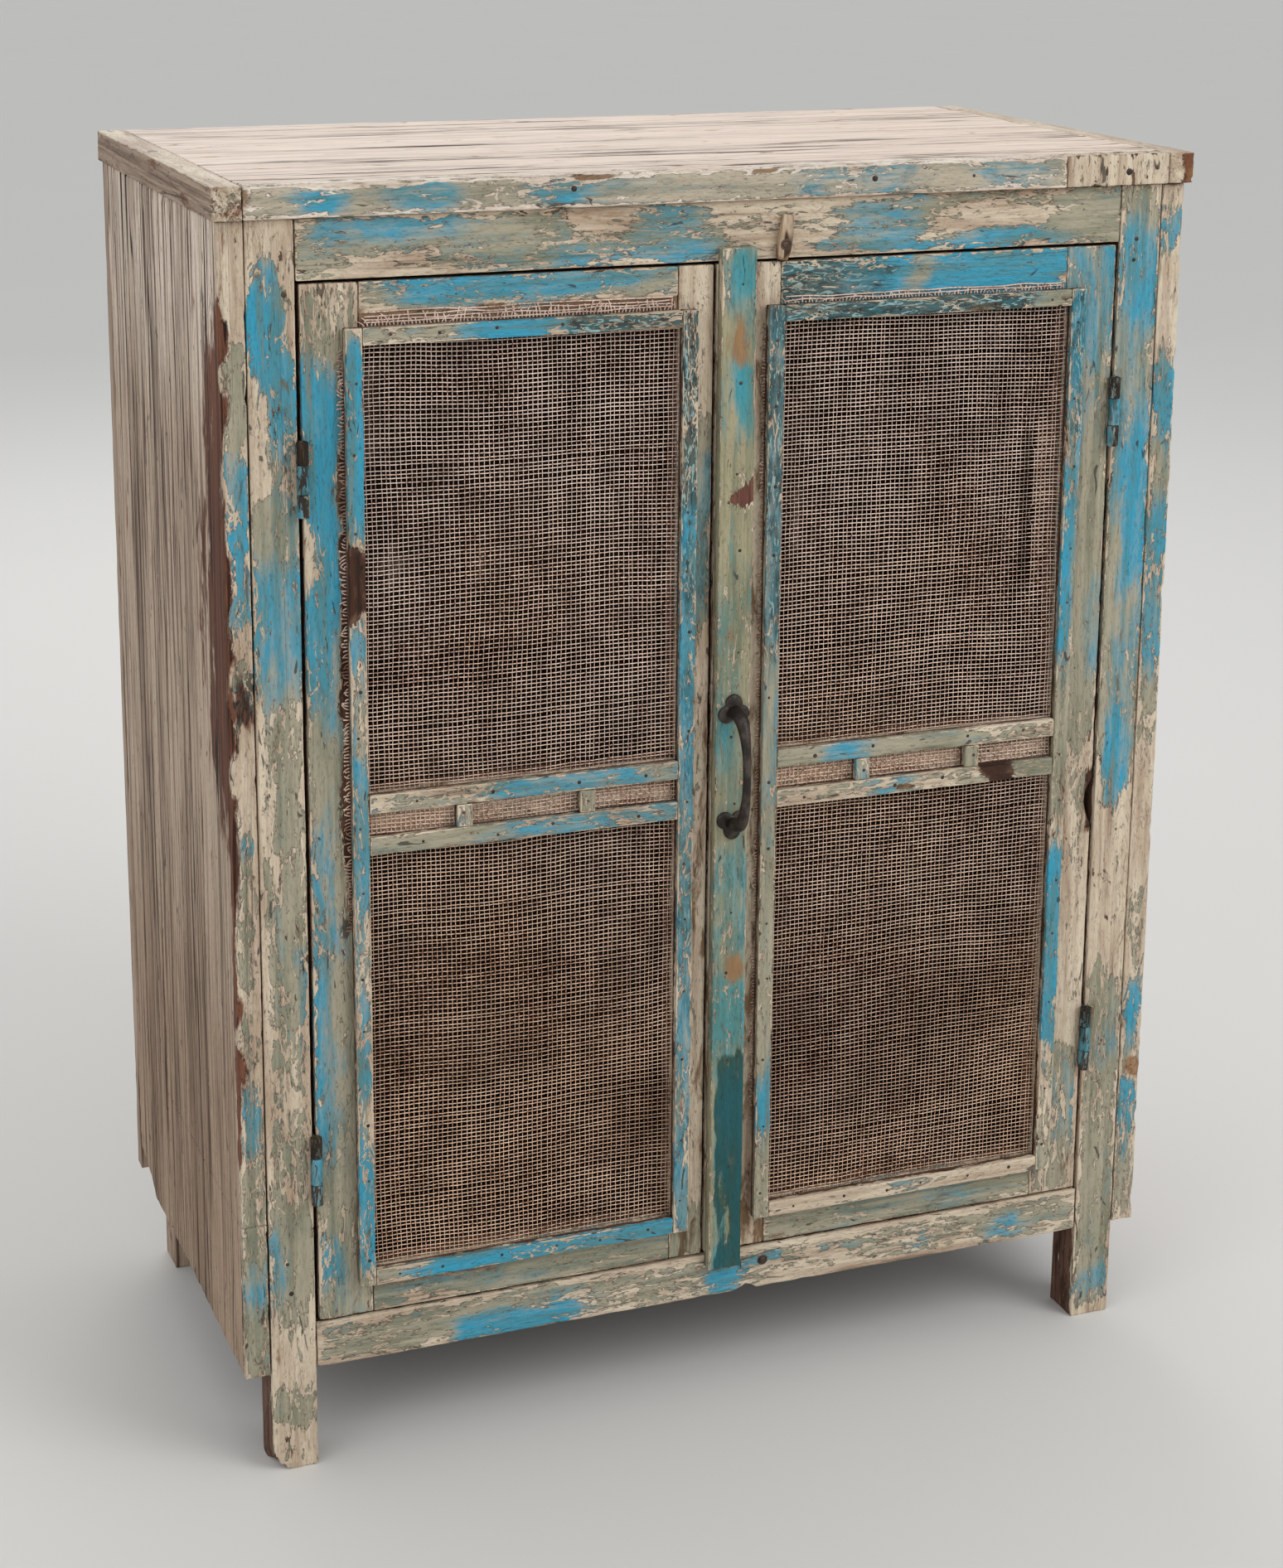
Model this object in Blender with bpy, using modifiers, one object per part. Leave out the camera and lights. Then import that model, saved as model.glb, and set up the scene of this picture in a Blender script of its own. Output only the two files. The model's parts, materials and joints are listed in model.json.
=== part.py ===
"""Pantry cupboard: boards nailed to four posts, with two mesh doors hung on butt hinges.

Metres, +Z up. The front faces -Y, the floor is at z = 0 and the overall box is centred on x = y = 0.
"""
import math

import bmesh
import bpy
from mathutils import Matrix, Vector

# Overall sizes
WIDTH = 0.940
DEPTH = 0.490
HEIGHT = 1.207
LEG_HEIGHT = 0.100

# Clearances
CLEARANCE = 0.0003
WELD = 0.00001
EDGE_ROUND = 0.0015
TRIM_ROUND = 0.0012

# Carcass boards
POST_WIDTH = 0.044
POST_DEPTH = 0.044
SIDE_THICKNESS = 0.024
REAR_SIDE_BOARD_WIDTH = 0.150
BACK_THICKNESS = 0.020
RAIL_DEPTH = 0.030
TOP_RAIL_HEIGHT = 0.054
BOTTOM_RAIL_HEIGHT = 0.045

# Top
TOP_THICKNESS = 0.030
EDGING_WIDTH = 0.026
SIDE_OVERHANG = 0.004
FRONT_OVERHANG = 0.008
FRONT_TOP_BOARD_WIDTH = 0.235

# Floor, shelf and cleats
FLOOR_THICKNESS = 0.020
SHELF_THICKNESS = 0.020
SHELF_HEIGHT = 0.640
SHELF_SETBACK = 0.025
CLEAT_WIDTH = 0.022
CLEAT_HEIGHT = 0.026

# Doors
DOOR_THICKNESS = 0.024
DOOR_TOP_GAP = 0.0025
DOOR_BOTTOM_GAP = 0.0025
MEETING_GAP = 0.003
MEETING_LINE = -0.0135
HINGE_STILE_WIDTH = 0.052
LEFT_MEETING_STILE_WIDTH = 0.034
RIGHT_MEETING_STILE_WIDTH = 0.063
DOOR_TOP_RAIL_HEIGHT = 0.054
DOOR_BOTTOM_RAIL_HEIGHT = 0.048
MID_RAIL_HEIGHT = 0.057
MID_RAIL_CENTRE = 0.6305

# Mesh panels and the strips nailed over them
MESH_THICKNESS = 0.0014
MESH_WIRE = 0.003
MESH_COLUMNS = 8
MESH_ROWS = 18
MESH_SETBACK = 0.001
BEAD_WIDTH = 0.0155
BEAD_THICKNESS = 0.010
SLAT_HEIGHT = 0.0175
BLOCK_WIDTH = 0.015
BLOCK_INSET = 0.082

# Cover strip
STRIP_WIDTH = 0.034
STRIP_THICKNESS = 0.012
STRIP_TOP_LAP = 0.0135
STRIP_BOTTOM_LAP = 0.0115

# Pull handle
HANDLE_LENGTH = 0.142
HANDLE_HEIGHT = 0.648
HANDLE_REACH = 0.038
GRIP_RADIUS = 0.004
ROSETTE_RADIUS = 0.0145
ROSETTE_LOBE = 0.0035
ROSETTE_THICKNESS = 0.003
ROSETTE_POINTS = 36
BOW_POINTS = 17

# Butt hinges
HINGE_LENGTH = 0.067
MIDDLE_KNUCKLE = 0.027
KNUCKLE_GAP = 0.0005
BARREL_RADIUS = 0.0055
PIN_RADIUS = 0.0022
LEAF_THICKNESS = 0.0011
LEAF_DEPTH = 0.020
LEAF_SPACE = 0.0004
LEFT_HINGE_INSETS = {"lower": 0.1545, "upper": 0.1692}
RIGHT_HINGE_INSETS = {"lower": 0.1665, "upper": 0.1602}
ROUND_STEPS = 16

# Turn buttons
BUTTON_SCREW_RADIUS = 0.002
BUTTON_SCREW_HEAD = 0.0038
BUTTON_SCREW_HEAD_HEIGHT = 0.0015
BUTTON_SCREW_DEPTH = 0.012
UPPER_BUTTON_WIDTH = 0.013
UPPER_BUTTON_THICKNESS = 0.007
UPPER_BUTTON_LONG_ARM = 0.027
UPPER_BUTTON_SHORT_ARM = 0.0145
UPPER_BUTTON_LEAN = math.radians(8.0)
UPPER_BUTTON_SIDE_GAP = 0.002
UPPER_BUTTON_DOOR_CLEARANCE = 0.0007
LOWER_BUTTON_LENGTH = 0.044
LOWER_BUTTON_WIDTH = 0.011
LOWER_BUTTON_THICKNESS = 0.004
LOWER_BUTTON_LEAN = math.radians(8.0)
LOWER_BUTTON_SIDE_GAP = 0.004
LOWER_BUTTON_DROP = 0.008
BUTTON_CHAMFER = 0.0025

# Derived places: planes along Y
PROUD = STRIP_THICKNESS + HANDLE_REACH + 2 * CLEARANCE
FRONT = (PROUD - DEPTH) / 2
REAR = FRONT + DEPTH
BACK_FACE = REAR - BACK_THICKNESS
MESH_FACE = FRONT - CLEARANCE - MESH_THICKNESS
TRIM_BACK = MESH_FACE - CLEARANCE
TRIM_FACE = TRIM_BACK - BEAD_THICKNESS
STRIP_BACK = FRONT - CLEARANCE
STRIP_FACE = STRIP_BACK - STRIP_THICKNESS

# Derived places: distances from the middle along X
SIDE_OUTER = WIDTH / 2
SIDE_INNER = SIDE_OUTER - SIDE_THICKNESS
POST_OUTER = SIDE_INNER - CLEARANCE
POST_INNER = POST_OUTER - POST_WIDTH
HINGE_GAP = 2 * LEAF_THICKNESS + LEAF_SPACE + 2 * CLEARANCE
HINGE_AXIS = POST_INNER - HINGE_GAP / 2
DOOR_OUTER = POST_INNER - HINGE_GAP
EDGING_OUTER = SIDE_OUTER + SIDE_OVERHANG
EDGING_INNER = EDGING_OUTER - EDGING_WIDTH

# Derived places: heights
TOP_UNDERSIDE = HEIGHT - TOP_THICKNESS
CARCASS_TOP = TOP_UNDERSIDE - CLEARANCE
TOP_RAIL_BOTTOM = CARCASS_TOP - TOP_RAIL_HEIGHT
BOTTOM_RAIL_TOP = LEG_HEIGHT + BOTTOM_RAIL_HEIGHT
DOOR_TOP = TOP_RAIL_BOTTOM - DOOR_TOP_GAP
DOOR_BOTTOM = BOTTOM_RAIL_TOP + DOOR_BOTTOM_GAP
PANEL_TOP = DOOR_TOP - DOOR_TOP_RAIL_HEIGHT
PANEL_BOTTOM = DOOR_BOTTOM + DOOR_BOTTOM_RAIL_HEIGHT
MID_RAIL_TOP = MID_RAIL_CENTRE + MID_RAIL_HEIGHT / 2
MID_RAIL_BOTTOM = MID_RAIL_CENTRE - MID_RAIL_HEIGHT / 2
SHELF_UNDERSIDE = SHELF_HEIGHT - SHELF_THICKNESS

# Derived places: hinges, strip and buttons
HINGE_FORWARD = BARREL_RADIUS + CLEARANCE
BORE_RADIUS = PIN_RADIUS + CLEARANCE
LEFT_DOOR_EDGE = MEETING_LINE - MEETING_GAP / 2
RIGHT_DOOR_EDGE = MEETING_LINE + MEETING_GAP / 2
STRIP_RIGHT = RIGHT_DOOR_EDGE + STRIP_WIDTH
STRIP_MIDDLE = RIGHT_DOOR_EDGE + STRIP_WIDTH / 2
UPPER_BUTTON_SWING = math.hypot(UPPER_BUTTON_LONG_ARM, UPPER_BUTTON_WIDTH / 2)
UPPER_BUTTON_X = STRIP_RIGHT + UPPER_BUTTON_SWING + UPPER_BUTTON_SIDE_GAP
UPPER_BUTTON_FOOT = (
    UPPER_BUTTON_SHORT_ARM * math.cos(UPPER_BUTTON_LEAN)
    + UPPER_BUTTON_WIDTH / 2 * math.sin(UPPER_BUTTON_LEAN)
)
UPPER_BUTTON_Z = DOOR_TOP + UPPER_BUTTON_DOOR_CLEARANCE + UPPER_BUTTON_FOOT
LOWER_BUTTON_SWING = math.hypot(LOWER_BUTTON_LENGTH, LOWER_BUTTON_WIDTH) / 2
LOWER_BUTTON_X = STRIP_RIGHT + LOWER_BUTTON_SWING + LOWER_BUTTON_SIDE_GAP
LOWER_BUTTON_RISE = (
    LOWER_BUTTON_LENGTH / 2 * math.sin(LOWER_BUTTON_LEAN)
    + LOWER_BUTTON_WIDTH / 2 * math.cos(LOWER_BUTTON_LEAN)
)
LOWER_BUTTON_Z = DOOR_BOTTOM - LOWER_BUTTON_DROP - LOWER_BUTTON_RISE

OBJECT_NAME = "pantry_cupboard"
SIDES = {"left": -1, "right": 1}
MEETING_STILE_WIDTHS = {"left": LEFT_MEETING_STILE_WIDTH, "right": RIGHT_MEETING_STILE_WIDTH}
MEETING_EDGES = {"left": LEFT_DOOR_EDGE, "right": RIGHT_DOOR_EDGE}
HINGE_INSETS = {"left": LEFT_HINGE_INSETS, "right": RIGHT_HINGE_INSETS}
HINGE_HEIGHTS = {
    label: {"lower": DOOR_BOTTOM + inset["lower"], "upper": DOOR_TOP - inset["upper"]}
    for label, inset in HINGE_INSETS.items()
}

# Outline plane (X, Y) turned to face the front (X, Z) or the side (Y, Z)
FACING_FRONT = Matrix.Rotation(math.radians(90), 4, "X")
FACING_SIDE = Matrix(((0, 0, 1, 0), (1, 0, 0, 0), (0, 1, 0, 0), (0, 0, 0, 1)))


def clear_scene():
    """Removes whatever the scene holds."""
    for old in list(bpy.data.objects):
        bpy.data.objects.remove(old, do_unlink=True)


def new_collection(name):
    """A collection linked to the scene."""
    made = bpy.data.collections.new(name)
    bpy.context.scene.collection.children.link(made)
    return made


def finish(name, colour, roughness, metallic=0.0):
    """A Principled material of one colour."""
    made = bpy.data.materials.new(name)
    made.use_nodes = True
    shader = made.node_tree.nodes["Principled BSDF"]
    shader.inputs["Base Color"].default_value = (*colour, 1.0)
    shader.inputs["Roughness"].default_value = roughness
    shader.inputs["Metallic"].default_value = metallic
    made.diffuse_color = (*colour, 1.0)
    return made


clear_scene()
PARTS = new_collection(OBJECT_NAME)
TOOLS = new_collection(OBJECT_NAME + "_cutters")

BLUE_PAINT = finish("chipped_blue_paint", (0.12, 0.36, 0.44), 0.62)
WORN_PAINT = finish("worn_cream_paint", (0.47, 0.40, 0.30), 0.70)
BARE_BOARD = finish("weathered_board", (0.33, 0.27, 0.21), 0.80)
SANDED_TOP = finish("sanded_top_board", (0.60, 0.50, 0.40), 0.72)
INNER_BOARD = finish("inner_board", (0.24, 0.17, 0.11), 0.80)
WOVEN_MESH = finish("woven_mesh", (0.42, 0.33, 0.25), 0.75)
HINGE_METAL = finish("painted_hinge", (0.16, 0.25, 0.27), 0.55, 0.4)
CAST_IRON = finish("dark_cast_iron", (0.03, 0.028, 0.026), 0.50, 0.7)
BUTTON_WOOD = finish("bare_button_wood", (0.55, 0.43, 0.31), 0.70)


def place(piece, location, carrier):
    """Puts a piece at a world location, carried by an empty if one is given."""
    piece.location = location
    if carrier is not None:
        piece.parent = carrier
        piece.location = Vector(location) - carrier.location


def add_part(name, mesh, location, material, carrier=None):
    """Adds a mesh to the cupboard as one named piece."""
    piece = bpy.data.objects.new(name, mesh)
    mesh.materials.clear()
    mesh.materials.append(material)
    PARTS.objects.link(piece)
    place(piece, location, carrier)
    return piece


def add_tool(name, mesh, location):
    """Adds a mesh that only cuts or joins pieces."""
    tool = bpy.data.objects.new(name, mesh)
    tool.location = location
    tool.hide_render = True
    tool.display_type = "WIRE"
    TOOLS.objects.link(tool)
    return tool


def combine(piece, tool, operation):
    """Cuts a piece with a tool, or joins the tool to it."""
    boolean = piece.modifiers.new(tool.name, "BOOLEAN")
    boolean.operation = operation
    boolean.object = tool
    boolean.solver = "EXACT"


def box_mesh(name, size):
    """A cuboid centred on its origin."""
    mesh = bpy.data.meshes.new(name)
    shape = bmesh.new()
    bmesh.ops.create_cube(shape, size=1.0)
    bmesh.ops.scale(shape, vec=size, verts=shape.verts)
    shape.to_mesh(mesh)
    shape.free()
    return mesh


def board(name, low, high, material, carrier=None, edge=EDGE_ROUND):
    """A sawn board between two corners, with its edges eased."""
    low = Vector(low)
    high = Vector(high)
    piece = add_part(name, box_mesh(name, high - low), (low + high) / 2, material, carrier)
    easing = piece.modifiers.new("eased_edges", "BEVEL")
    easing.width = edge
    easing.segments = 1
    return piece


def solid_from_curve(name, curve):
    """The closed mesh of a filled outline or a bevelled tube."""
    holder = bpy.data.objects.new(name, curve)
    TOOLS.objects.link(holder)
    bpy.context.view_layer.update()
    graph = bpy.context.evaluated_depsgraph_get()
    mesh = bpy.data.meshes.new_from_object(holder.evaluated_get(graph))
    bpy.data.objects.remove(holder, do_unlink=True)
    shape = bmesh.new()
    shape.from_mesh(mesh)
    bmesh.ops.remove_doubles(shape, verts=shape.verts, dist=WELD)
    bmesh.ops.recalc_face_normals(shape, faces=shape.faces)
    shape.to_mesh(mesh)
    shape.free()
    return mesh


def outline_mesh(name, points, thickness, facing):
    """A flat plate cut to an outline, centred on its own plane."""
    curve = bpy.data.curves.new(name, "CURVE")
    curve.dimensions = "2D"
    curve.fill_mode = "BOTH"
    curve.extrude = thickness / 2
    spline = curve.splines.new("POLY")
    spline.points.add(len(points) - 1)
    for control, (across, up) in zip(spline.points, points):
        control.co = (across, up, 0.0, 1.0)
    spline.use_cyclic_u = True
    mesh = solid_from_curve(name, curve)
    mesh.transform(facing)
    return mesh


def tube_mesh(name, points, radius):
    """A round bar along a row of points, with filled ends."""
    curve = bpy.data.curves.new(name, "CURVE")
    curve.dimensions = "3D"
    curve.bevel_depth = radius
    curve.bevel_resolution = 2
    curve.use_fill_caps = True
    spline = curve.splines.new("POLY")
    spline.points.add(len(points) - 1)
    for control, point in zip(spline.points, points):
        control.co = (*point, 1.0)
    return solid_from_curve(name, curve)


def turned_tool(name, profile, location, closed=False):
    """A turned shape about Z from a profile of (radius, height) that runs down its outer side."""
    mesh = bpy.data.meshes.new(name)
    shape = bmesh.new()
    corners = [shape.verts.new((radius, 0.0, height)) for radius, height in profile]
    for first, second in zip(corners, corners[1:]):
        shape.edges.new((first, second))
    if closed:
        shape.edges.new((corners[-1], corners[0]))
    shape.to_mesh(mesh)
    shape.free()
    tool = add_tool(name, mesh, location)
    screw = tool.modifiers.new("turning", "SCREW")
    screw.steps = ROUND_STEPS
    screw.render_steps = ROUND_STEPS
    screw.use_merge_vertices = True
    screw.merge_threshold = WELD
    return tool


def pivot_empty(name, location):
    """An empty on a joint's axis, which carries the pieces that turn about it."""
    empty = bpy.data.objects.new(name, None)
    empty.location = location
    empty.empty_display_size = HINGE_LENGTH
    PARTS.objects.link(empty)
    bpy.context.view_layer.update()
    return empty


def mirrored(side, inner, outer):
    """The low and high X of a span given by its distances from the middle."""
    return (inner, outer) if side > 0 else (-outer, -inner)


def make_posts():
    """Four square posts whose lower ends are the legs."""
    rows = {
        "front": (FRONT, FRONT + POST_DEPTH),
        "rear": (BACK_FACE - CLEARANCE - POST_DEPTH, BACK_FACE - CLEARANCE),
    }
    cutters = []
    for label, side in SIDES.items():
        left, right = mirrored(side, POST_INNER, POST_OUTER)
        for row, (near, far) in rows.items():
            name = f"{label}_{row}_post"
            board(name, (left, near, 0), (right, far, CARCASS_TOP), WORN_PAINT)
            size = Vector((right - left, far - near, CARCASS_TOP)) + Vector((2 * CLEARANCE,) * 3)
            middle = ((left + right) / 2, (near + far) / 2, CARCASS_TOP / 2)
            cutters.append(add_tool(name + "_notch", box_mesh(name, size), middle))
    return cutters


def make_sides():
    """Two upright boards nailed to the outside of each pair of posts."""
    rear_end = BACK_FACE - CLEARANCE
    joint = rear_end - REAR_SIDE_BOARD_WIDTH
    for label, side in SIDES.items():
        left, right = mirrored(side, SIDE_INNER, SIDE_OUTER)
        front_high = (right, joint - CLEARANCE, CARCASS_TOP)
        board(f"{label}_side_front_board", (left, FRONT, LEG_HEIGHT), front_high, BARE_BOARD)
        rear_high = (right, rear_end, CARCASS_TOP)
        board(f"{label}_side_rear_board", (left, joint, LEG_HEIGHT), rear_high, BARE_BOARD)


def make_back():
    """The boarded back, over the rear edges of the sides."""
    low = (-SIDE_OUTER, BACK_FACE, LEG_HEIGHT)
    board("back_panel", low, (SIDE_OUTER, REAR, CARCASS_TOP), BARE_BOARD)


def make_top():
    """Two top boards inside a three-sided edging."""
    front = FRONT - FRONT_OVERHANG
    boards_front = front + EDGING_WIDTH + CLEARANCE
    joint = boards_front + FRONT_TOP_BOARD_WIDTH
    for label, side in SIDES.items():
        left, right = mirrored(side, EDGING_INNER, EDGING_OUTER)
        board(f"top_edging_{label}", (left, front, TOP_UNDERSIDE), (right, REAR, HEIGHT), SANDED_TOP)
    reach = EDGING_INNER - CLEARANCE
    edging_high = (reach, front + EDGING_WIDTH, HEIGHT)
    board("top_edging_front", (-reach, front, TOP_UNDERSIDE), edging_high, BLUE_PAINT)
    low = (-reach, boards_front, TOP_UNDERSIDE)
    board("top_front_board", low, (reach, joint - CLEARANCE, HEIGHT), SANDED_TOP)
    low = (-reach, joint, TOP_UNDERSIDE)
    board("top_rear_board", low, (reach, REAR, HEIGHT), SANDED_TOP)


def make_rails():
    """The front rails above and below the doors, with holes for the button screws."""
    reach = POST_INNER - CLEARANCE
    spans = {
        "front_top_rail": (TOP_RAIL_BOTTOM, CARCASS_TOP, UPPER_BUTTON_X, UPPER_BUTTON_Z),
        "front_bottom_rail": (LEG_HEIGHT, BOTTOM_RAIL_TOP, LOWER_BUTTON_X, LOWER_BUTTON_Z),
    }
    hole = BUTTON_SCREW_RADIUS + CLEARANCE
    depth = BUTTON_SCREW_DEPTH + CLEARANCE
    for name, (bottom, top, across, up) in spans.items():
        low = (-reach, FRONT, bottom)
        rail = board(name, low, (reach, FRONT + RAIL_DEPTH, top), BLUE_PAINT)
        profile = [(0, depth), (hole, depth), (hole, -depth), (0, -depth)]
        cutter = turned_tool(name + "_screw_hole", profile, (across, FRONT, up))
        cutter.rotation_euler.x = math.radians(90)
        combine(rail, cutter, "DIFFERENCE")


def make_inside(post_cutters):
    """The floor, the shelf notched round the posts, and the cleats under the shelf."""
    reach = SIDE_INNER - CLEARANCE
    rear = BACK_FACE - CLEARANCE
    floor_front = FRONT + RAIL_DEPTH + CLEARANCE
    low = (-reach, floor_front, BOTTOM_RAIL_TOP - FLOOR_THICKNESS)
    floor = board("floor_board", low, (reach, rear, BOTTOM_RAIL_TOP), INNER_BOARD)
    shelf_front = FRONT + DOOR_THICKNESS + SHELF_SETBACK
    low = (-reach, shelf_front, SHELF_UNDERSIDE)
    shelf = board("shelf_board", low, (reach, rear, SHELF_HEIGHT), INNER_BOARD)
    for cutter in post_cutters:
        combine(floor, cutter, "DIFFERENCE")
        combine(shelf, cutter, "DIFFERENCE")
    near = FRONT + POST_DEPTH + CLEARANCE
    far = rear - POST_DEPTH - CLEARANCE
    top = SHELF_UNDERSIDE - CLEARANCE
    for label, side in SIDES.items():
        left, right = mirrored(side, reach - CLEAT_WIDTH, reach)
        low = (left, near, top - CLEAT_HEIGHT)
        board(f"{label}_shelf_cleat", low, (right, far, top), INNER_BOARD)


def net_mesh(name, width, height):
    """A flat net of crossing wires, as an open sheet whose gaps are cut out."""
    columns = 2 * MESH_COLUMNS + 1
    rows = 2 * MESH_ROWS + 1
    mesh = bpy.data.meshes.new(name)
    sheet = bmesh.new()
    bmesh.ops.create_grid(sheet, x_segments=columns, y_segments=rows, size=0.5)

    def cell(share, count):
        return round((share + 0.5) * count)

    gaps = []
    for face in sheet.faces:
        middle = face.calc_center_median()
        column = math.floor((middle.x + 0.5) * columns)
        row = math.floor((middle.y + 0.5) * rows)
        if column % 2 and row % 2:
            gaps.append(face)
    column_pitch = (width - MESH_WIRE) / MESH_COLUMNS
    row_pitch = (height - MESH_WIRE) / MESH_ROWS
    for corner in sheet.verts:
        across = cell(corner.co.x, columns)
        up = cell(corner.co.y, rows)
        corner.co.x = across // 2 * column_pitch + across % 2 * MESH_WIRE - width / 2
        corner.co.y = up // 2 * row_pitch + up % 2 * MESH_WIRE - height / 2
    bmesh.ops.delete(sheet, geom=gaps, context="FACES")
    bmesh.ops.transform(sheet, matrix=FACING_FRONT, verts=sheet.verts)
    sheet.to_mesh(mesh)
    sheet.free()
    return mesh


def make_door(label, side, carrier):
    """One framed door: stiles, rails, mesh panel, beads, slats and blocks."""
    hinge_edge = side * DOOR_OUTER
    meeting_edge = MEETING_EDGES[label]
    hinge_in = hinge_edge - side * HINGE_STILE_WIDTH
    meeting_in = meeting_edge + side * MEETING_STILE_WIDTHS[label]
    back = FRONT + DOOR_THICKNESS

    def framing(name, first, second, bottom, top):
        left, right = sorted((first, second))
        low = (left, FRONT, bottom)
        return board(f"{label}_door_{name}", low, (right, back, top), BLUE_PAINT, carrier)

    def trim(name, first, second, bottom, top):
        left, right = sorted((first, second))
        low = (left, TRIM_FACE, bottom)
        high = (right, TRIM_BACK, top)
        return board(f"{label}_door_{name}", low, high, BLUE_PAINT, carrier, TRIM_ROUND)

    framing("hinge_stile", hinge_edge, hinge_in, DOOR_BOTTOM, DOOR_TOP)
    framing("meeting_stile", meeting_edge, meeting_in, DOOR_BOTTOM, DOOR_TOP)
    rail_hinge_end = hinge_in - side * CLEARANCE
    rail_meeting_end = meeting_in + side * CLEARANCE
    framing("top_rail", rail_hinge_end, rail_meeting_end, PANEL_TOP, DOOR_TOP)
    framing("mid_rail", rail_hinge_end, rail_meeting_end, MID_RAIL_BOTTOM, MID_RAIL_TOP)
    framing("bottom_rail", rail_hinge_end, rail_meeting_end, DOOR_BOTTOM, PANEL_BOTTOM)

    lap = BEAD_WIDTH - MESH_SETBACK
    width = abs(hinge_in - meeting_in) + 2 * lap
    height = PANEL_TOP - PANEL_BOTTOM + 2 * lap
    net_name = f"{label}_door_mesh"
    middle = ((hinge_in + meeting_in) / 2, FRONT - CLEARANCE - MESH_THICKNESS / 2)
    middle += ((PANEL_TOP + PANEL_BOTTOM) / 2,)
    net = add_part(net_name, net_mesh(net_name, width, height), middle, WOVEN_MESH, carrier)
    wires = net.modifiers.new("wire_thickness", "SOLIDIFY")
    wires.thickness = MESH_THICKNESS
    wires.offset = 0.0

    bead_top = PANEL_TOP + BEAD_WIDTH
    bead_bottom = PANEL_BOTTOM - BEAD_WIDTH
    trim("hinge_bead", hinge_in, hinge_in + side * BEAD_WIDTH, bead_bottom, bead_top)
    trim("meeting_bead", meeting_in, meeting_in - side * BEAD_WIDTH, bead_bottom, bead_top)
    trim("top_bead", rail_hinge_end, rail_meeting_end, PANEL_TOP, bead_top)
    trim("bottom_bead", rail_hinge_end, rail_meeting_end, bead_bottom, PANEL_BOTTOM)

    slat_bottom = MID_RAIL_TOP - SLAT_HEIGHT
    slat_top = MID_RAIL_BOTTOM + SLAT_HEIGHT
    trim("upper_slat", rail_hinge_end, rail_meeting_end, slat_bottom, MID_RAIL_TOP)
    trim("lower_slat", rail_hinge_end, rail_meeting_end, MID_RAIL_BOTTOM, slat_top)
    block_bottom = slat_top + CLEARANCE
    block_top = slat_bottom - CLEARANCE
    near = hinge_in - side * BLOCK_INSET
    trim("hinge_block", near, near - side * BLOCK_WIDTH, block_bottom, block_top)
    near = meeting_in + side * BLOCK_INSET
    trim("meeting_block", near, near + side * BLOCK_WIDTH, block_bottom, block_top)


def leaf_outline(tabs_at_ends):
    """The comb outline of a hinge leaf as (depth, height), with tabs to its own knuckles."""
    half = HINGE_LENGTH / 2
    tab = (BORE_RADIUS + BARREL_RADIUS) / 2
    start = BARREL_RADIUS + CLEARANCE
    end = HINGE_FORWARD + LEAF_DEPTH
    if tabs_at_ends:
        step = MIDDLE_KNUCKLE / 2
        inner = [(tab, half), (tab, step), (start, step)]
    else:
        step = MIDDLE_KNUCKLE / 2 - KNUCKLE_GAP
        inner = [(start, half), (start, step), (tab, step)]
    lower = [(depth, -height) for depth, height in reversed(inner)]
    return [(end, -half), (end, half), *inner, *lower]


def make_hinge(label, side, level, height, carrier):
    """One butt hinge: a frame leaf with the pin, and a door leaf with the middle knuckle."""
    centre = Vector((side * HINGE_AXIS, FRONT - HINGE_FORWARD, height))
    offset = HINGE_GAP / 2 - CLEARANCE - LEAF_THICKNESS / 2
    half = HINGE_LENGTH / 2
    step = MIDDLE_KNUCKLE / 2
    ring = step - KNUCKLE_GAP
    stem = f"{label}_{level}_hinge"

    name = stem + "_frame_leaf"
    mesh = outline_mesh(name, leaf_outline(True), LEAF_THICKNESS, FACING_SIDE)
    mesh.transform(Matrix.Translation((side * offset, 0, 0)))
    leaf = add_part(name, mesh, centre, HINGE_METAL)
    upper = [(0, half), (BARREL_RADIUS, half), (BARREL_RADIUS, step), (PIN_RADIUS, step)]
    lower = [(radius, -z) for radius, z in reversed(upper)]
    combine(leaf, turned_tool(name + "_barrel", upper + lower, centre), "UNION")

    name = stem + "_door_leaf"
    mesh = outline_mesh(name, leaf_outline(False), LEAF_THICKNESS, FACING_SIDE)
    mesh.transform(Matrix.Translation((-side * offset, 0, 0)))
    leaf = add_part(name, mesh, centre, HINGE_METAL, carrier)
    knuckle = [(BARREL_RADIUS, ring), (BARREL_RADIUS, -ring), (BORE_RADIUS, -ring), (BORE_RADIUS, ring)]
    combine(leaf, turned_tool(name + "_knuckle", knuckle, centre, closed=True), "UNION")


def make_cover_strip(carrier):
    """The strip over the meeting of the doors, nailed to the right door."""
    low = (RIGHT_DOOR_EDGE, STRIP_FACE, BOTTOM_RAIL_TOP - STRIP_BOTTOM_LAP)
    high = (STRIP_RIGHT, STRIP_BACK, TOP_RAIL_BOTTOM + STRIP_TOP_LAP)
    board("cover_strip", low, high, BLUE_PAINT, carrier)


def rosette_outline(upright):
    """A three-lobed plate as (across, up), one lobe pointing away from the grip."""
    points = []
    for step in range(ROSETTE_POINTS):
        turn = 2 * math.pi * step / ROSETTE_POINTS
        radius = ROSETTE_RADIUS + ROSETTE_LOBE * math.cos(3 * turn)
        points.append((radius * math.sin(turn), upright * radius * math.cos(turn)))
    return points


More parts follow.
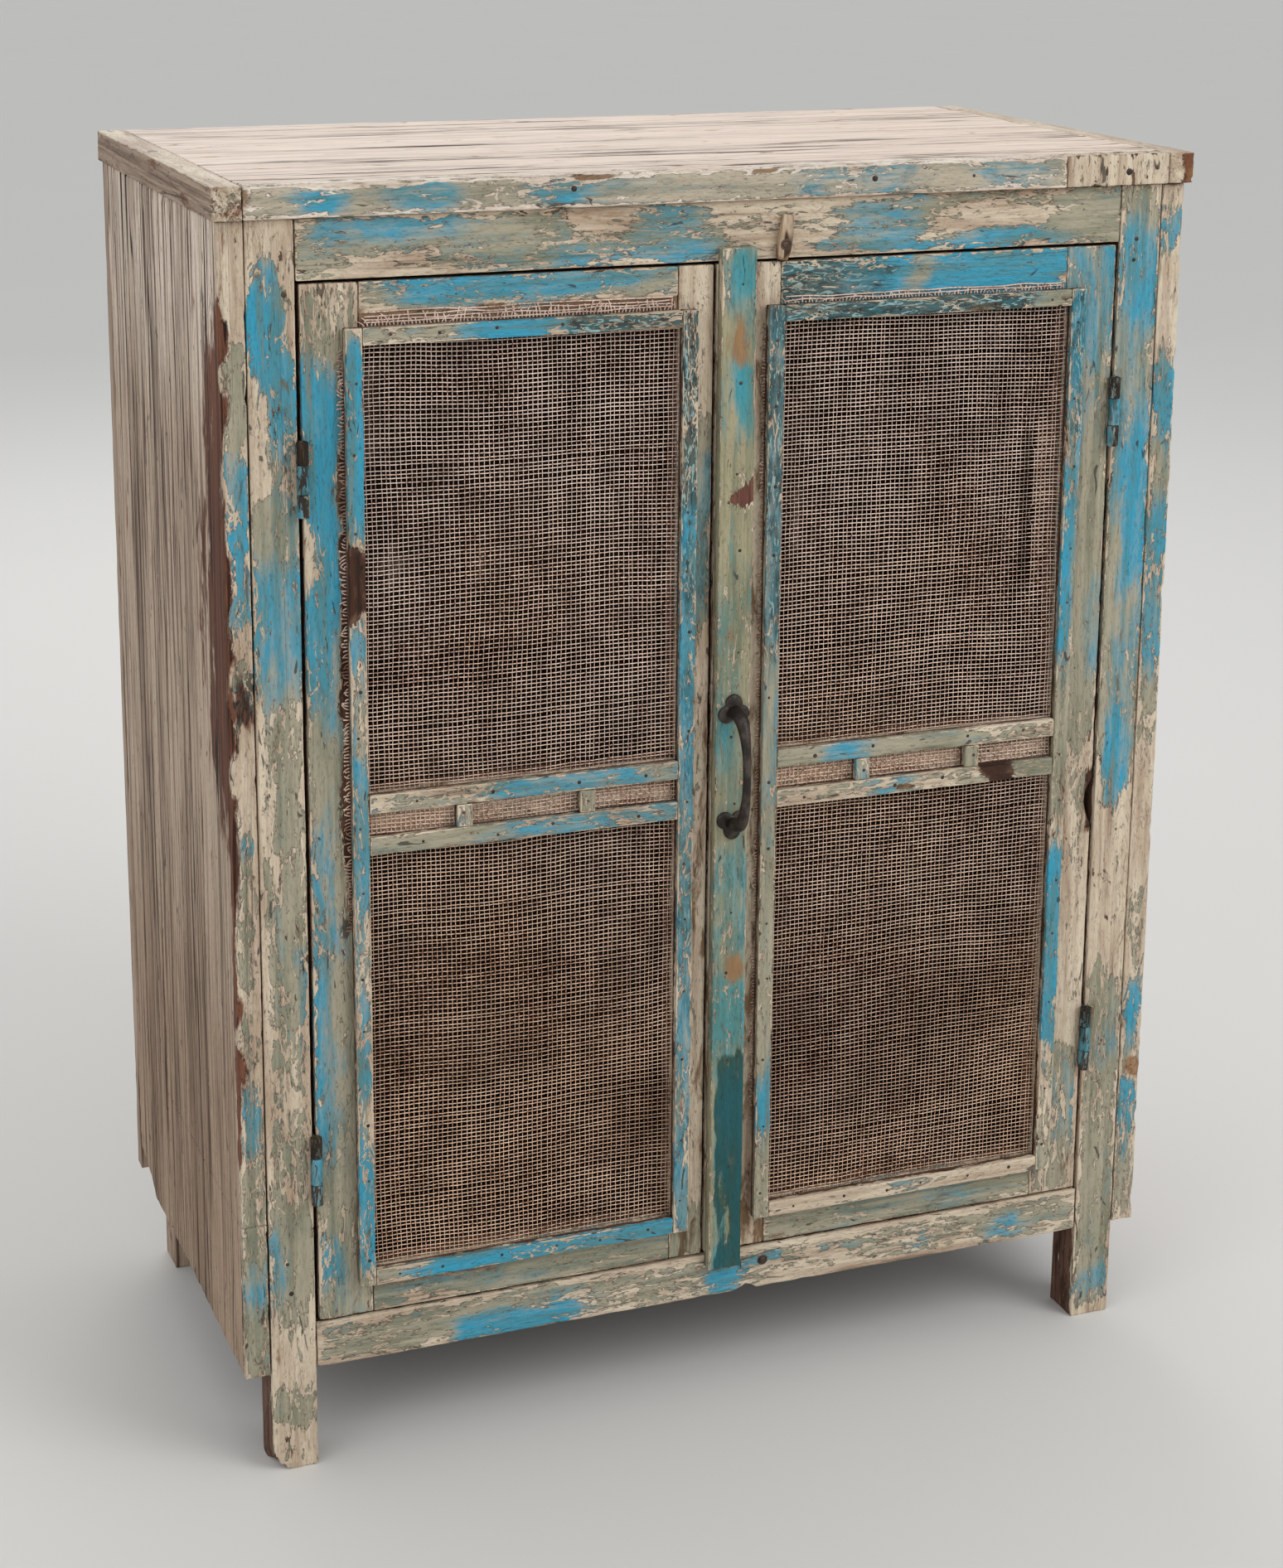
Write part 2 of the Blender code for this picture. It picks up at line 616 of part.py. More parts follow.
def make_handle(carrier):
    """The cast pull handle: a bowed grip between two three-lobed plates."""
    seat = Vector((STRIP_MIDDLE, STRIP_FACE - CLEARANCE, HANDLE_HEIGHT))
    half = HANDLE_LENGTH / 2 - ROSETTE_RADIUS - ROSETTE_LOBE
    rise = HANDLE_REACH - GRIP_RADIUS
    bow = []
    for step in range(BOW_POINTS):
        turn = math.pi * step / (BOW_POINTS - 1)
        out = ROSETTE_THICKNESS / 2 + (rise - ROSETTE_THICKNESS / 2) * math.sin(turn)
        bow.append((0.0, -out, half * math.cos(turn)))
    handle = add_part("pull_handle", tube_mesh("pull_handle", bow, GRIP_RADIUS), seat, CAST_IRON, carrier)
    easing = ROSETTE_THICKNESS / 2
    for level, upright in {"upper": 1, "lower": -1}.items():
        name = f"handle_{level}_rosette"
        plate = outline_mesh(name, rosette_outline(upright), ROSETTE_THICKNESS, FACING_FRONT)
        tool = add_tool(name, plate, seat + Vector((0, -easing, upright * half)))
        combine(handle, tool, "UNION")
    behind = box_mesh("handle_seat", Vector((WIDTH, DEPTH, HEIGHT)))
    tool = add_tool("handle_seat", behind, seat + Vector((0, DEPTH / 2, 0)))
    combine(handle, tool, "DIFFERENCE")
    handle.data.shade_smooth()
    handle.data.set_sharp_from_angle(angle=math.radians(40))


def bar_outline(left, right, half_width):
    """A narrow bar with clipped corners as (across, up)."""
    inset = half_width - BUTTON_CHAMFER
    right_end = [(right - BUTTON_CHAMFER, -half_width), (right, -inset), (right, inset)]
    right_end.append((right - BUTTON_CHAMFER, half_width))
    left_end = [(left + BUTTON_CHAMFER, half_width), (left, inset), (left, -inset)]
    left_end.append((left + BUTTON_CHAMFER, -half_width))
    return right_end + left_end


def make_button(name, pivot, outline, thickness, lean, material):
    """A turn button with its screw, whose shank sits in the rail."""
    plate = outline_mesh(name, outline, thickness, FACING_FRONT)
    plate.transform(Matrix.Translation((0, -thickness / 2, 0)))
    button = add_part(name, plate, pivot, material)
    button.rotation_euler.y = lean
    head = thickness + BUTTON_SCREW_HEAD_HEIGHT
    middle = thickness / 2
    profile = [(0, head), (BUTTON_SCREW_HEAD, head), (BUTTON_SCREW_HEAD, middle)]
    profile += [(BUTTON_SCREW_RADIUS, middle), (BUTTON_SCREW_RADIUS, -BUTTON_SCREW_DEPTH)]
    profile.append((0, -BUTTON_SCREW_DEPTH))
    tool = turned_tool(name + "_screw", profile, pivot)
    tool.rotation_euler.x = math.radians(90)
    combine(button, tool, "UNION")


def make_buttons():
    """The turn buttons on the rails above and below the right door."""
    seat = FRONT - CLEARANCE
    upright = bar_outline(-UPPER_BUTTON_SHORT_ARM, UPPER_BUTTON_LONG_ARM, UPPER_BUTTON_WIDTH / 2)
    pivot = (UPPER_BUTTON_X, seat, UPPER_BUTTON_Z)
    lean = UPPER_BUTTON_LEAN - math.radians(90)
    make_button("upper_turn_button", pivot, upright, UPPER_BUTTON_THICKNESS, lean, BUTTON_WOOD)
    half = LOWER_BUTTON_LENGTH / 2
    level = bar_outline(-half, half, LOWER_BUTTON_WIDTH / 2)
    pivot = (LOWER_BUTTON_X, seat, LOWER_BUTTON_Z)
    lean = -LOWER_BUTTON_LEAN
    make_button("lower_turn_button", pivot, level, LOWER_BUTTON_THICKNESS, lean, WORN_PAINT)


def main():
    """Builds the cupboard piece by piece."""
    post_cutters = make_posts()
    make_sides()
    make_back()
    make_top()
    make_rails()
    make_inside(post_cutters)
    carriers = {}
    for label, side in SIDES.items():
        axis = (side * HINGE_AXIS, FRONT - HINGE_FORWARD, MID_RAIL_CENTRE)
        carriers[label] = pivot_empty(f"{label}_door_axis", axis)
        make_door(label, side, carriers[label])
        for level, height in HINGE_HEIGHTS[label].items():
            make_hinge(label, side, level, height, carriers[label])
    make_cover_strip(carriers["right"])
    make_handle(carriers["right"])
    make_buttons()


main()
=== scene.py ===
"""Pantry cupboard: chipped paint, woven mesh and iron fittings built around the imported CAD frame.

Lengths are in metres. +X is to the right, the front faces -Y and +Z is up. Colours are written as
0 to 255 screen values and turned into linear ones where a node takes them.
"""

from __future__ import annotations

import itertools
import json
import logging
import math
import zlib
from dataclasses import dataclass, field, replace
from enum import Enum

import bpy
import numpy as np
from mathutils import Matrix, Vector

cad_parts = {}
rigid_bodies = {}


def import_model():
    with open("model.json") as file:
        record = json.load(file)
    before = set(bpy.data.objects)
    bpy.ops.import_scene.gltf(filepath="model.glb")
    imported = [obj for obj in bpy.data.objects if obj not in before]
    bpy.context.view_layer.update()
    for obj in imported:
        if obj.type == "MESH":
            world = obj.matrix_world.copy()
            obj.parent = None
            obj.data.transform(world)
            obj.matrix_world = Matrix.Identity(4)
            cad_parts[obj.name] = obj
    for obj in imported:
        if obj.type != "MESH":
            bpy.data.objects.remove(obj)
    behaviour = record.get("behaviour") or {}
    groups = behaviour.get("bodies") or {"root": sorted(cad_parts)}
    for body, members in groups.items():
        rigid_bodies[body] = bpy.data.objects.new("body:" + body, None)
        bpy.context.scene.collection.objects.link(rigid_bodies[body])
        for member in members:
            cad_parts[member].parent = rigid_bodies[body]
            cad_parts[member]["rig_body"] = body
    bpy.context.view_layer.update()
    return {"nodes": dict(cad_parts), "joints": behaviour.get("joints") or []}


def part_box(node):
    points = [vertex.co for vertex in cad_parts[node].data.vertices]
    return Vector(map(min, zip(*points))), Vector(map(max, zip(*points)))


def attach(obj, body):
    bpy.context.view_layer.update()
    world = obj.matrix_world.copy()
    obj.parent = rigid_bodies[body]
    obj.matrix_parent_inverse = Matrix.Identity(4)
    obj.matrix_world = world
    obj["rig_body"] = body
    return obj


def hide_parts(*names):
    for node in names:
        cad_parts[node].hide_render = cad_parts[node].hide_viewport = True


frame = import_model()
log = logging.getLogger("pantry_cupboard")

Colour = tuple[float, float, float]
Place = tuple[float, float, float]
Amounts = tuple[float, float, float, float]
Array = np.ndarray
Box = tuple[Array, Array]
Socket = bpy.types.NodeSocket
Node = bpy.types.Node
Tree = bpy.types.NodeTree
Piece = bpy.types.Object
Material = bpy.types.Material


class Grain(Enum):
    """The axis along which the fibres of a piece of wood run."""

    LEVEL = 0
    DEEP = 1
    UPRIGHT = 2


class Coat(Enum):
    """What lies on the wood, in the order of the columns of a table of amounts."""

    BLUE = 0
    SAGE = 1
    CREAM = 2
    # Grime also carries painted shade on the upright threads and on some bead sides.
    GRIME = 3
    STAIN = 4
    # Tarnish also carries painted shade on the bare sides of the side boards.
    TARNISH = 5


class Slot(Enum):
    """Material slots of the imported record."""

    BLUE_PAINT = "blue_paint"
    WORN_PAINT = "worn_paint"
    BARE_BOARD = "bare_board"
    SANDED_TOP = "sanded_top"
    INNER_BOARD = "inner_board"
    WOVEN_MESH = "woven_mesh"
    HINGE_METAL = "hinge_metal"
    HANDLE_IRON = "handle_iron"
    BUTTON_WOOD = "button_wood"


BLUE, SAGE, CREAM, GRIME, STAIN, TARNISH = Coat
LEVEL, DEEP, UPRIGHT = Grain
TO_FRONT = Matrix.Rotation(math.radians(90.0), 4, "X")
X_WAY = np.array([1.0, 0.0, 0.0])
Z_WAY = np.array([0.0, 0.0, 1.0])
HASH_STEPS = np.array([374761393, 668265263, 974634893])
HASH_SEED = 1274126177
HASH_MIX = 1103515245
NOISE_LOW = 0.28
NOISE_HIGH = 0.72
BRUSHED_FADE = 0.026
CHIPPED_FADE = 0.012
FACE_FADE = 0.003
FLANK_FADE = 0.12
CROWN_DEPTH = 0.0028
CROWN_FADE = 0.002
# Box of the inside of the cupboard, whose faces get painted shade.
INSIDE_LOW = np.array([-0.4470, -0.1900, 0.1000])
INSIDE_HIGH = np.array([0.4470, 0.2510, 1.1778])


def linear(colour: Colour) -> tuple[float, float, float, float]:
    """Turns a 0 to 255 screen colour into a linear one.

    Args:
        colour: red, green and blue as seen on screen.
    Returns:
        Linear red, green, blue and a full alpha.
    """
    parts = [value / 255.0 for value in colour]
    bent = [part / 12.92 if part <= 0.04045 else ((part + 0.055) / 1.055) ** 2.4 for part in parts]
    return (*bent, 1.0)


def seed_of(name: str) -> int:
    """Gives a piece a number of its own that is the same on every run."""
    return zlib.crc32(name.encode()) % 100003


def smooth(share: Array) -> Array:
    """Eases shares from 0 to 1 in and out."""
    return share * share * (3.0 - 2.0 * share)


def value_noise(points: Array, seed: int) -> Array:
    """Smooth seeded noise.

    Args:
        points: places in units of one noise cell, one row each.
        seed: picks the pattern.
    Returns:
        One value from -1 to 1 for each place.
    """
    base = np.floor(points).astype(np.int64)
    part = smooth(points - base)
    total = np.zeros(len(points))
    for corner in itertools.product((0, 1), repeat=3):
        mixed = (base + np.array(corner)) @ HASH_STEPS + seed * HASH_SEED
        mixed = (mixed ^ (mixed >> 13)) * HASH_MIX
        value = ((mixed ^ (mixed >> 16)) & 0xFFFF) / 32767.5 - 1.0
        total += value * np.prod(np.where(corner, part, 1.0 - part), axis=1)
    return total


@dataclass
class Shell:
    """Points and faces of closed forms. The fourth corner of a triangle is -1."""

    points: Array
    faces: Array

    @staticmethod
    def joined(parts: list[Shell]) -> Shell:
        """Lays several shells into one without welding them.

        Args:
            parts: the shells.
        Returns:
            One shell with all their faces.
        """
        starts = np.cumsum([0] + [len(part.points) for part in parts[:-1]])
        faces = [np.where(part.faces < 0, -1, part.faces + start) for part, start in zip(parts, starts)]
        return Shell(np.concatenate([part.points for part in parts]), np.concatenate(faces))

    def placed(self, matrix: Matrix) -> Shell:
        """The same shell carried to another place."""
        turn = np.array(matrix.to_3x3())
        return Shell(self.points @ turn.T + np.array(matrix.translation), self.faces)

    def piece(self, name: str, material: Material) -> Piece:
        """Makes the shell an object of the scene.

        Args:
            name: the object's name.
            material: its finish.
        Returns:
            The new object, smooth shaded, at the origin.
        """
        used = self.faces >= 0
        sizes = used.sum(axis=1)
        mesh = bpy.data.meshes.new(name)
        mesh.vertices.add(len(self.points))
        mesh.vertices.foreach_set("co", self.points.astype(np.float32).ravel())
        mesh.loops.add(int(sizes.sum()))
        mesh.loops.foreach_set("vertex_index", self.faces[used].astype(np.int32))
        mesh.polygons.add(len(self.faces))
        mesh.polygons.foreach_set("loop_start", np.cumsum(sizes) - sizes)
        mesh.update(calc_edges=True)
        mesh.validate()
        mesh.shade_smooth()
        mesh.materials.append(material)
        return added(name, mesh)


def added(name: str, data: bpy.types.ID) -> Piece:
    """Puts a mesh, a lamp or a camera in the scene.

    Args:
        name: the object's name.
        data: what it shows.
    Returns:
        The new object.
    """
    made = bpy.data.objects.new(name, data)
    bpy.context.scene.collection.objects.link(made)
    return made


def body_of(node: str) -> str:
    """The CAD body that carries a node."""
    return frame["nodes"][node]["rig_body"]


def corners(node: str) -> Box:
    """Lowest and highest corner of a CAD node as arrays."""
    low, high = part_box(node)
    return np.array(low), np.array(high)


def pivot_of(joint: str) -> Vector:
    """Place of a CAD joint."""
    return Vector(next(row["pos_m"] for row in frame["joints"] if row["name"] == joint))


def lattice(lines: list[Array]) -> Shell:
    """Skin of a box that is cut at the given places.

    Args:
        lines: rising X, Y and Z values.
    Returns:
        A closed shell of quads that face outwards.
    """
    counts = tuple(len(line) for line in lines)
    sheets = []
    for axis in range(3):
        one, two = (axis + 1) % 3, (axis + 2) % 3
        i, j = (a.ravel() for a in np.mgrid[0 : counts[one] - 1, 0 : counts[two] - 1])
        for level, order in ((0, [0, 3, 2, 1]), (counts[axis] - 1, [0, 1, 2, 3])):
            ring = []
            for di, dj in ((0, 0), (1, 0), (1, 1), (0, 1)):
                place = [i, i, i]
                place[axis] = np.full_like(i, level)
                place[one] = i + di
                place[two] = j + dj
                ring.append(np.ravel_multi_index(place, counts))
            sheets.append(np.stack(ring, axis=1)[:, order])
    used, faces = np.unique(np.concatenate(sheets), return_inverse=True)
    places = np.unravel_index(used, counts)
    points = np.stack([line[place] for line, place in zip(lines, places)], axis=1)
    return Shell(points, faces.reshape(-1, 4))


def ringed(rings: Array, foot: Array | Place, head: Array | Place) -> Shell:
    """Skins a stack of rings and closes its ends.

    Args:
        rings: rings by points by 3, turning left when seen from the head.
        foot: middle of the first ring.
        head: middle of the last ring.
    Returns:
        A closed shell.
    """
    steps, turns = rings.shape[:2]
    index = np.arange(steps * turns).reshape(steps, turns)
    after = np.roll(index, -1, axis=1)
    sides = np.stack([index[:-1], after[:-1], after[1:], index[1:]], axis=-1).reshape(-1, 4)
    none = np.full(turns, -1)
    bottom = np.stack([none + index.size + 1, after[0], index[0], none], axis=1)
    top = np.stack([none + index.size + 2, index[-1], after[-1], none], axis=1)
    points = np.concatenate([rings.reshape(-1, 3), [foot, head]])
    return Shell(points, np.concatenate([sides, bottom, top]))


def lathe(profile: list[tuple[float, float]], turns: int = 20) -> Shell:
    """Turns a profile about Z and closes its ends.

    Args:
        profile: radius and height, from the bottom up.
        turns: points round the axis.
    Returns:
        A closed shell.
    """
    angle = np.arange(turns) * 2.0 * math.pi / turns
    rings = [np.stack([r * np.cos(angle), r * np.sin(angle), np.full(turns, h)], axis=1) for r, h in profile]
    return ringed(np.array(rings), (0.0, 0.0, profile[0][1]), (0.0, 0.0, profile[-1][1]))


def swept(path: Array, side: Array, half: Array, turns: int = 14) -> Shell:
    """A bar of oval section along a path.

    Args:
        path: points of the middle line.
        side: unit vector that stays square to the path.
        half: half sizes along the side vector and square to it, for every point.
        turns: points round the section.
    Returns:
        A closed shell.
    """
    along = np.gradient(path, axis=0)
    along /= np.linalg.norm(along, axis=1)[:, None]
    other = np.cross(along, side)[:, None]
    angle = np.arange(turns) * 2.0 * math.pi / turns
    wide = np.cos(angle)[None, :, None] * half[:, 0, None, None] * side
    thick = np.sin(angle)[None, :, None] * half[:, 1, None, None] * other
    return ringed(path[:, None] + wide + thick, path[0], path[-1])


def strands(centres: Array, across: Array, width: Array | float, depth: float) -> Shell:
    """Flattened threads that follow given lines.

    Args:
        centres: threads by points by 3.
        across: unit vector of the wide side of the threads.
        width: half width, at every point or for all of them.
        depth: half thickness.
    Returns:
        One closed four-sided tube for every thread.
    """
    count, steps = centres.shape[:2]
    wide = np.broadcast_to(width, (count, steps))[..., None] * across
    thick = np.broadcast_to(np.array([0.0, depth, 0.0]), centres.shape)
    sides = [wide, thick, -wide, -thick] if across[0] > 0.5 else [thick, wide, -thick, -wide]
    points = np.stack([centres + side for side in sides], axis=2)
    index = np.arange(count * steps * 4).reshape(count, steps, 4)
    after = np.roll(index, -1, axis=2)
    skin = np.stack([index[:, :-1], after[:, :-1], after[:, 1:], index[:, 1:]], axis=-1)
    ends = np.concatenate([index[:, 0, ::-1], index[:, -1]])
    return Shell(points.reshape(-1, 3), np.concatenate([skin.reshape(-1, 4), ends]))


@dataclass(frozen=True)
class Patch:
    """A stretch of a piece where one coat lies in another amount.

    It runs from start to end along the grain, and from low to high in shares of the width.
    """

    coat: Coat
    start: float
    end: float
    amount: float
    low: float = -0.5
    high: float = 1.5
    blur: float = 0.18
    slant: float = 0.0

    def window(self, along: Array, across: Array) -> Array:
        """How far the patch holds at each place, fading at its borders.

        Args:
            along: place along the grain.
            across: share of the width, from 0 to 1.
        Returns:
            0 to 1 for each place.
        """
        fade, blur = (BRUSHED_FADE, self.blur * 1.5) if self.coat is BLUE else (CHIPPED_FADE, self.blur)
        level = along - self.slant * (across - 0.5)
        far = np.minimum(level - self.start, self.end - level) / min(fade, 0.35 * (self.end - self.start))
        wide = np.minimum(across - self.low, self.high - across) / blur
        return np.prod([smooth(np.clip(reach * 0.5 + 0.5, 0.0, 1.0)) for reach in (far, wide)], axis=0)


def laid(coat: Coat, *stretches: tuple[float, ...]) -> tuple[Patch, ...]:
    """Patches of one coat, each given as a Patch gives what follows its coat."""
    return tuple(Patch(coat, *stretch) for stretch in stretches)


def bared(start: float, end: float, *window: float) -> tuple[Patch, ...]:
    """Takes every coat of paint off one stretch, in a window across as a Patch gives it."""
    return tuple(Patch(coat, start, end, 0.0, *window) for coat in (BLUE, SAGE, CREAM))


def all_coats(amounts: Amounts) -> Array:
    """Amounts of paint and grime, with no stain and no tarnish."""
    return np.array([*amounts, 0.0, 0.0])


@dataclass(frozen=True)
class PaintPlan:
    """What is left of each coat on the face of a piece, and on its other sides.

    A crown is the top side. A flank is a dirty band beside the face: its lower and upper end, its reach
    and its amount. Shade by height pairs heights with how much painted shade darkens the sides there.
    """

    face: Amounts
    patches: tuple[Patch, ...] = ()
    behind: Amounts = (0.0, 0.1, 0.16, 0.4)
    depth: float = 0.005
    crown: Amounts | None = None
    flank: tuple[float, float, float, float] | None = None
    shade_by_height: tuple[tuple[float, float], ...] = ()
    wander: float = 0.013
    sway: float = 0.0065

    def amounts(self, points: Array, box: Box, grain: Grain, seed: int) -> Array:
        """Amount of each coat at each point of a piece.

        Args:
            points: places on the piece.
            box: lowest and highest corner of the piece.
            grain: direction of its fibres.
            seed: picks how the borders of the patches wander.
        Returns:
            A value from 0 to 1 for each point and coat.
        """
        low, high = box
        width_axis = 2 if grain is LEVEL else 0
        cells = np.full(3, 55.0)
        cells[grain.value] = 28.0
        along = points[:, grain.value] + self.wander * value_noise(points * cells, seed + 21)
        sway = self.sway * value_noise(points * cells * 1.3, seed + 22) / (high - low)[width_axis]
        across = ((points - low) / (high - low))[:, width_axis] + np.clip(sway, -0.25, 0.25)
        made = np.tile(all_coats(self.face), (len(points), 1))
        for patch in self.patches:
            column = made[:, patch.coat.value]
            column += (patch.amount - column) * patch.window(along, across)
        front = np.clip((self.depth - points[:, 1] + low[1]) / FACE_FADE + 0.5, 0.0, 1.0)[:, None]
        made = made * front + all_coats(self.behind) * (1.0 - front)
        if self.flank is not None:
            start, end, reach, amount = self.flank
            rise = np.clip(np.minimum(points[:, 2] - start, end - points[:, 2]) / FLANK_FADE, 0.0, 1.0)
            streaky = 0.3 * value_noise(points * np.array([0.0, 70.0, 9.0]), seed + 23)
            back = np.clip(1.0 + streaky - (points[:, 1] - low[1]) / reach, 0.0, 1.0)
            made[:, GRIME.value] += amount * rise * back * (1.0 - front[:, 0])
        # Painted shade: the sides away from the face darken towards the bottom.
        if self.shade_by_height:
            heights, darkness = zip(*self.shade_by_height)
            made[:, TARNISH.value] += np.interp(points[:, 2], heights, darkness) * (1.0 - front[:, 0])
        if self.crown is not None:
            upper = np.clip((points[:, 2] - high[2] + CROWN_DEPTH) / CROWN_FADE, 0.0, 1.0)[:, None]
            made = made * (1.0 - upper) + all_coats(self.crown) * upper
        return made


@dataclass(frozen=True)
class Bite:
    """A place where a board is broken away or dented."""

    place: Place
    reach: Place
    push: Place

    def moved(self, points: Array) -> Array:
        """Points after the bite is taken.

        Args:
            points: places on the board.
        Returns:
            The points, pushed where they lie in reach.
        """
        away = np.linalg.norm((points - np.array(self.place)) / np.array(self.reach), axis=1)
        hold = np.clip(1.0 - away * away, 0.0, 1.0)
        return points + hold[:, None] * np.array(self.push)


@dataclass(frozen=True)
class Cut:
    """How finely a board is cut and how its surface is worn."""

    arris: float = 0.0022
    along: float = 0.010
    across: float = 0.006
    relief: float = 0.0005
    nicks: float = 0.5
    bites: tuple[Bite, ...] = ()
    seams: tuple[float, ...] = ()
    slack: Place = (0.0, 0.0, 0.0)
    seam_half: float = 0.0014
    seam_depth: float = 0.0016


@dataclass
class WornBoard:
    """A sawn piece of wood with rubbed edges and a hollowed, uneven face."""

    low: Array
    high: Array
    grain: Grain
    seed: int
    cut: Cut = Cut()

    def lines(self, axis: int) -> Array:
        """Places where the board is cut along one axis.

        Args:
            axis: 0, 1 or 2 for X, Y or Z.
        Returns:
            Rising coordinates with two close lines at each end.
        """
        low, high = self.low[axis], self.high[axis]
        arris = min(self.cut.arris, 0.3 * (high - low))
        step = self.cut.along if axis == self.grain.value else self.cut.across
        count = max(1, round((high - low - 2.0 * arris) / step))
        inner = np.linspace(low + arris, high - arris, count + 1)
        made = [low, low + 0.35 * arris, *inner, high - 0.35 * arris, high]
        if axis == self.grain.value:
            for seam in self.cut.seams:
                made += [seam - self.cut.seam_half, seam, seam + self.cut.seam_half]
        return np.unique(np.round(made, 6))

    def shell(self) -> tuple[Shell, Array]:
        """Cuts and wears the board.

        Returns:
            The closed shell, and for each point how near it lies to an edge, from 0 to 1.
        """
        raw = lattice([self.lines(axis) for axis in range(3)])
        points = raw.points
        slimmest = float((self.high - self.low).min())
        near = np.sort(np.minimum(points - self.low, self.high - points), axis=1)
        edge = np.clip(1.0 - near[:, 1] / min(0.006, 0.2 * slimmest), 0.0, 1.0)
        stretch = np.full(3, 1.0)
        stretch[self.grain.value] = 0.35
        broad = value_noise(points * stretch * 70.0, self.seed)
        fine = value_noise(points * stretch * 240.0, self.seed + 7)
        nick = np.clip(broad * 0.7 + fine * 0.6 - 0.25, 0.0, 1.0) * self.cut.nicks
        arris = min(self.cut.arris, 0.3 * slimmest)
        radius = np.clip(arris * (0.55 + 0.35 * fine + 2.2 * nick), 0.2 * arris, 2.2 * arris)
        radius = np.minimum(radius, 0.45 * slimmest)[:, None]
        core = np.clip(points, self.low + radius, self.high - radius)
        away = points - core
        normal = away / np.maximum(np.linalg.norm(away, axis=1), 1e-9)[:, None]
        stretch[self.grain.value] = 0.12
        hollow = value_noise(points * stretch * 45.0, self.seed + 13) * 0.5 + 0.5
        worn = core + normal * radius - normal * (hollow * self.cut.relief)[:, None]
        for bite in self.cut.bites:
            worn = bite.moved(worn)
        for seam in self.cut.seams:
            hold = np.abs(points[:, self.grain.value] - seam) < 0.0005
            worn -= normal * np.where(hold, self.cut.seam_depth, 0.0)[:, None]
        return Shell(np.clip(worn, self.low, self.high), raw.faces), edge


def write_marks(piece: Piece, shell: Shell, coats: Array, edge: Array, seed: int) -> None:
    """Stores what the finishes read: coats, edges, what looks inside and a shift of the pattern.

    Args:
        piece: the object that gets the attributes.
        shell: its points.
        coats: one amount for each point and coat.
        edge: one value for each point.
        seed: picks the shift of the pattern.
    """
    places = shell.points.astype(np.float32)
    # Points inside the cupboard, which the finishes darken as painted shade.
    inside = ((places > INSIDE_LOW) & (places < INSIDE_HIGH)).all(axis=1)
    shift = np.random.default_rng(seed).uniform(-4.0, 4.0, 3)
    marks = {
        "coats": ("FLOAT_COLOR", "color", coats[:, :STAIN.value]),
        "stain": ("FLOAT", "value", coats[:, STAIN.value]),
        # Tarnish, which on the side boards also holds painted shade, darker towards the bottom.
        "tarnish": ("FLOAT", "value", coats[:, TARNISH.value]),
        "edge": ("FLOAT", "value", edge),
        "inside": ("FLOAT", "value", inside),
        "shift": ("FLOAT_VECTOR", "vector", np.tile(shift, (len(places), 1))),
    }
    for name, (kind, key, rows) in marks.items():
        layer = piece.data.attributes.new(name, kind, "POINT")
        layer.data.foreach_set(key, rows.astype(np.float32).ravel())


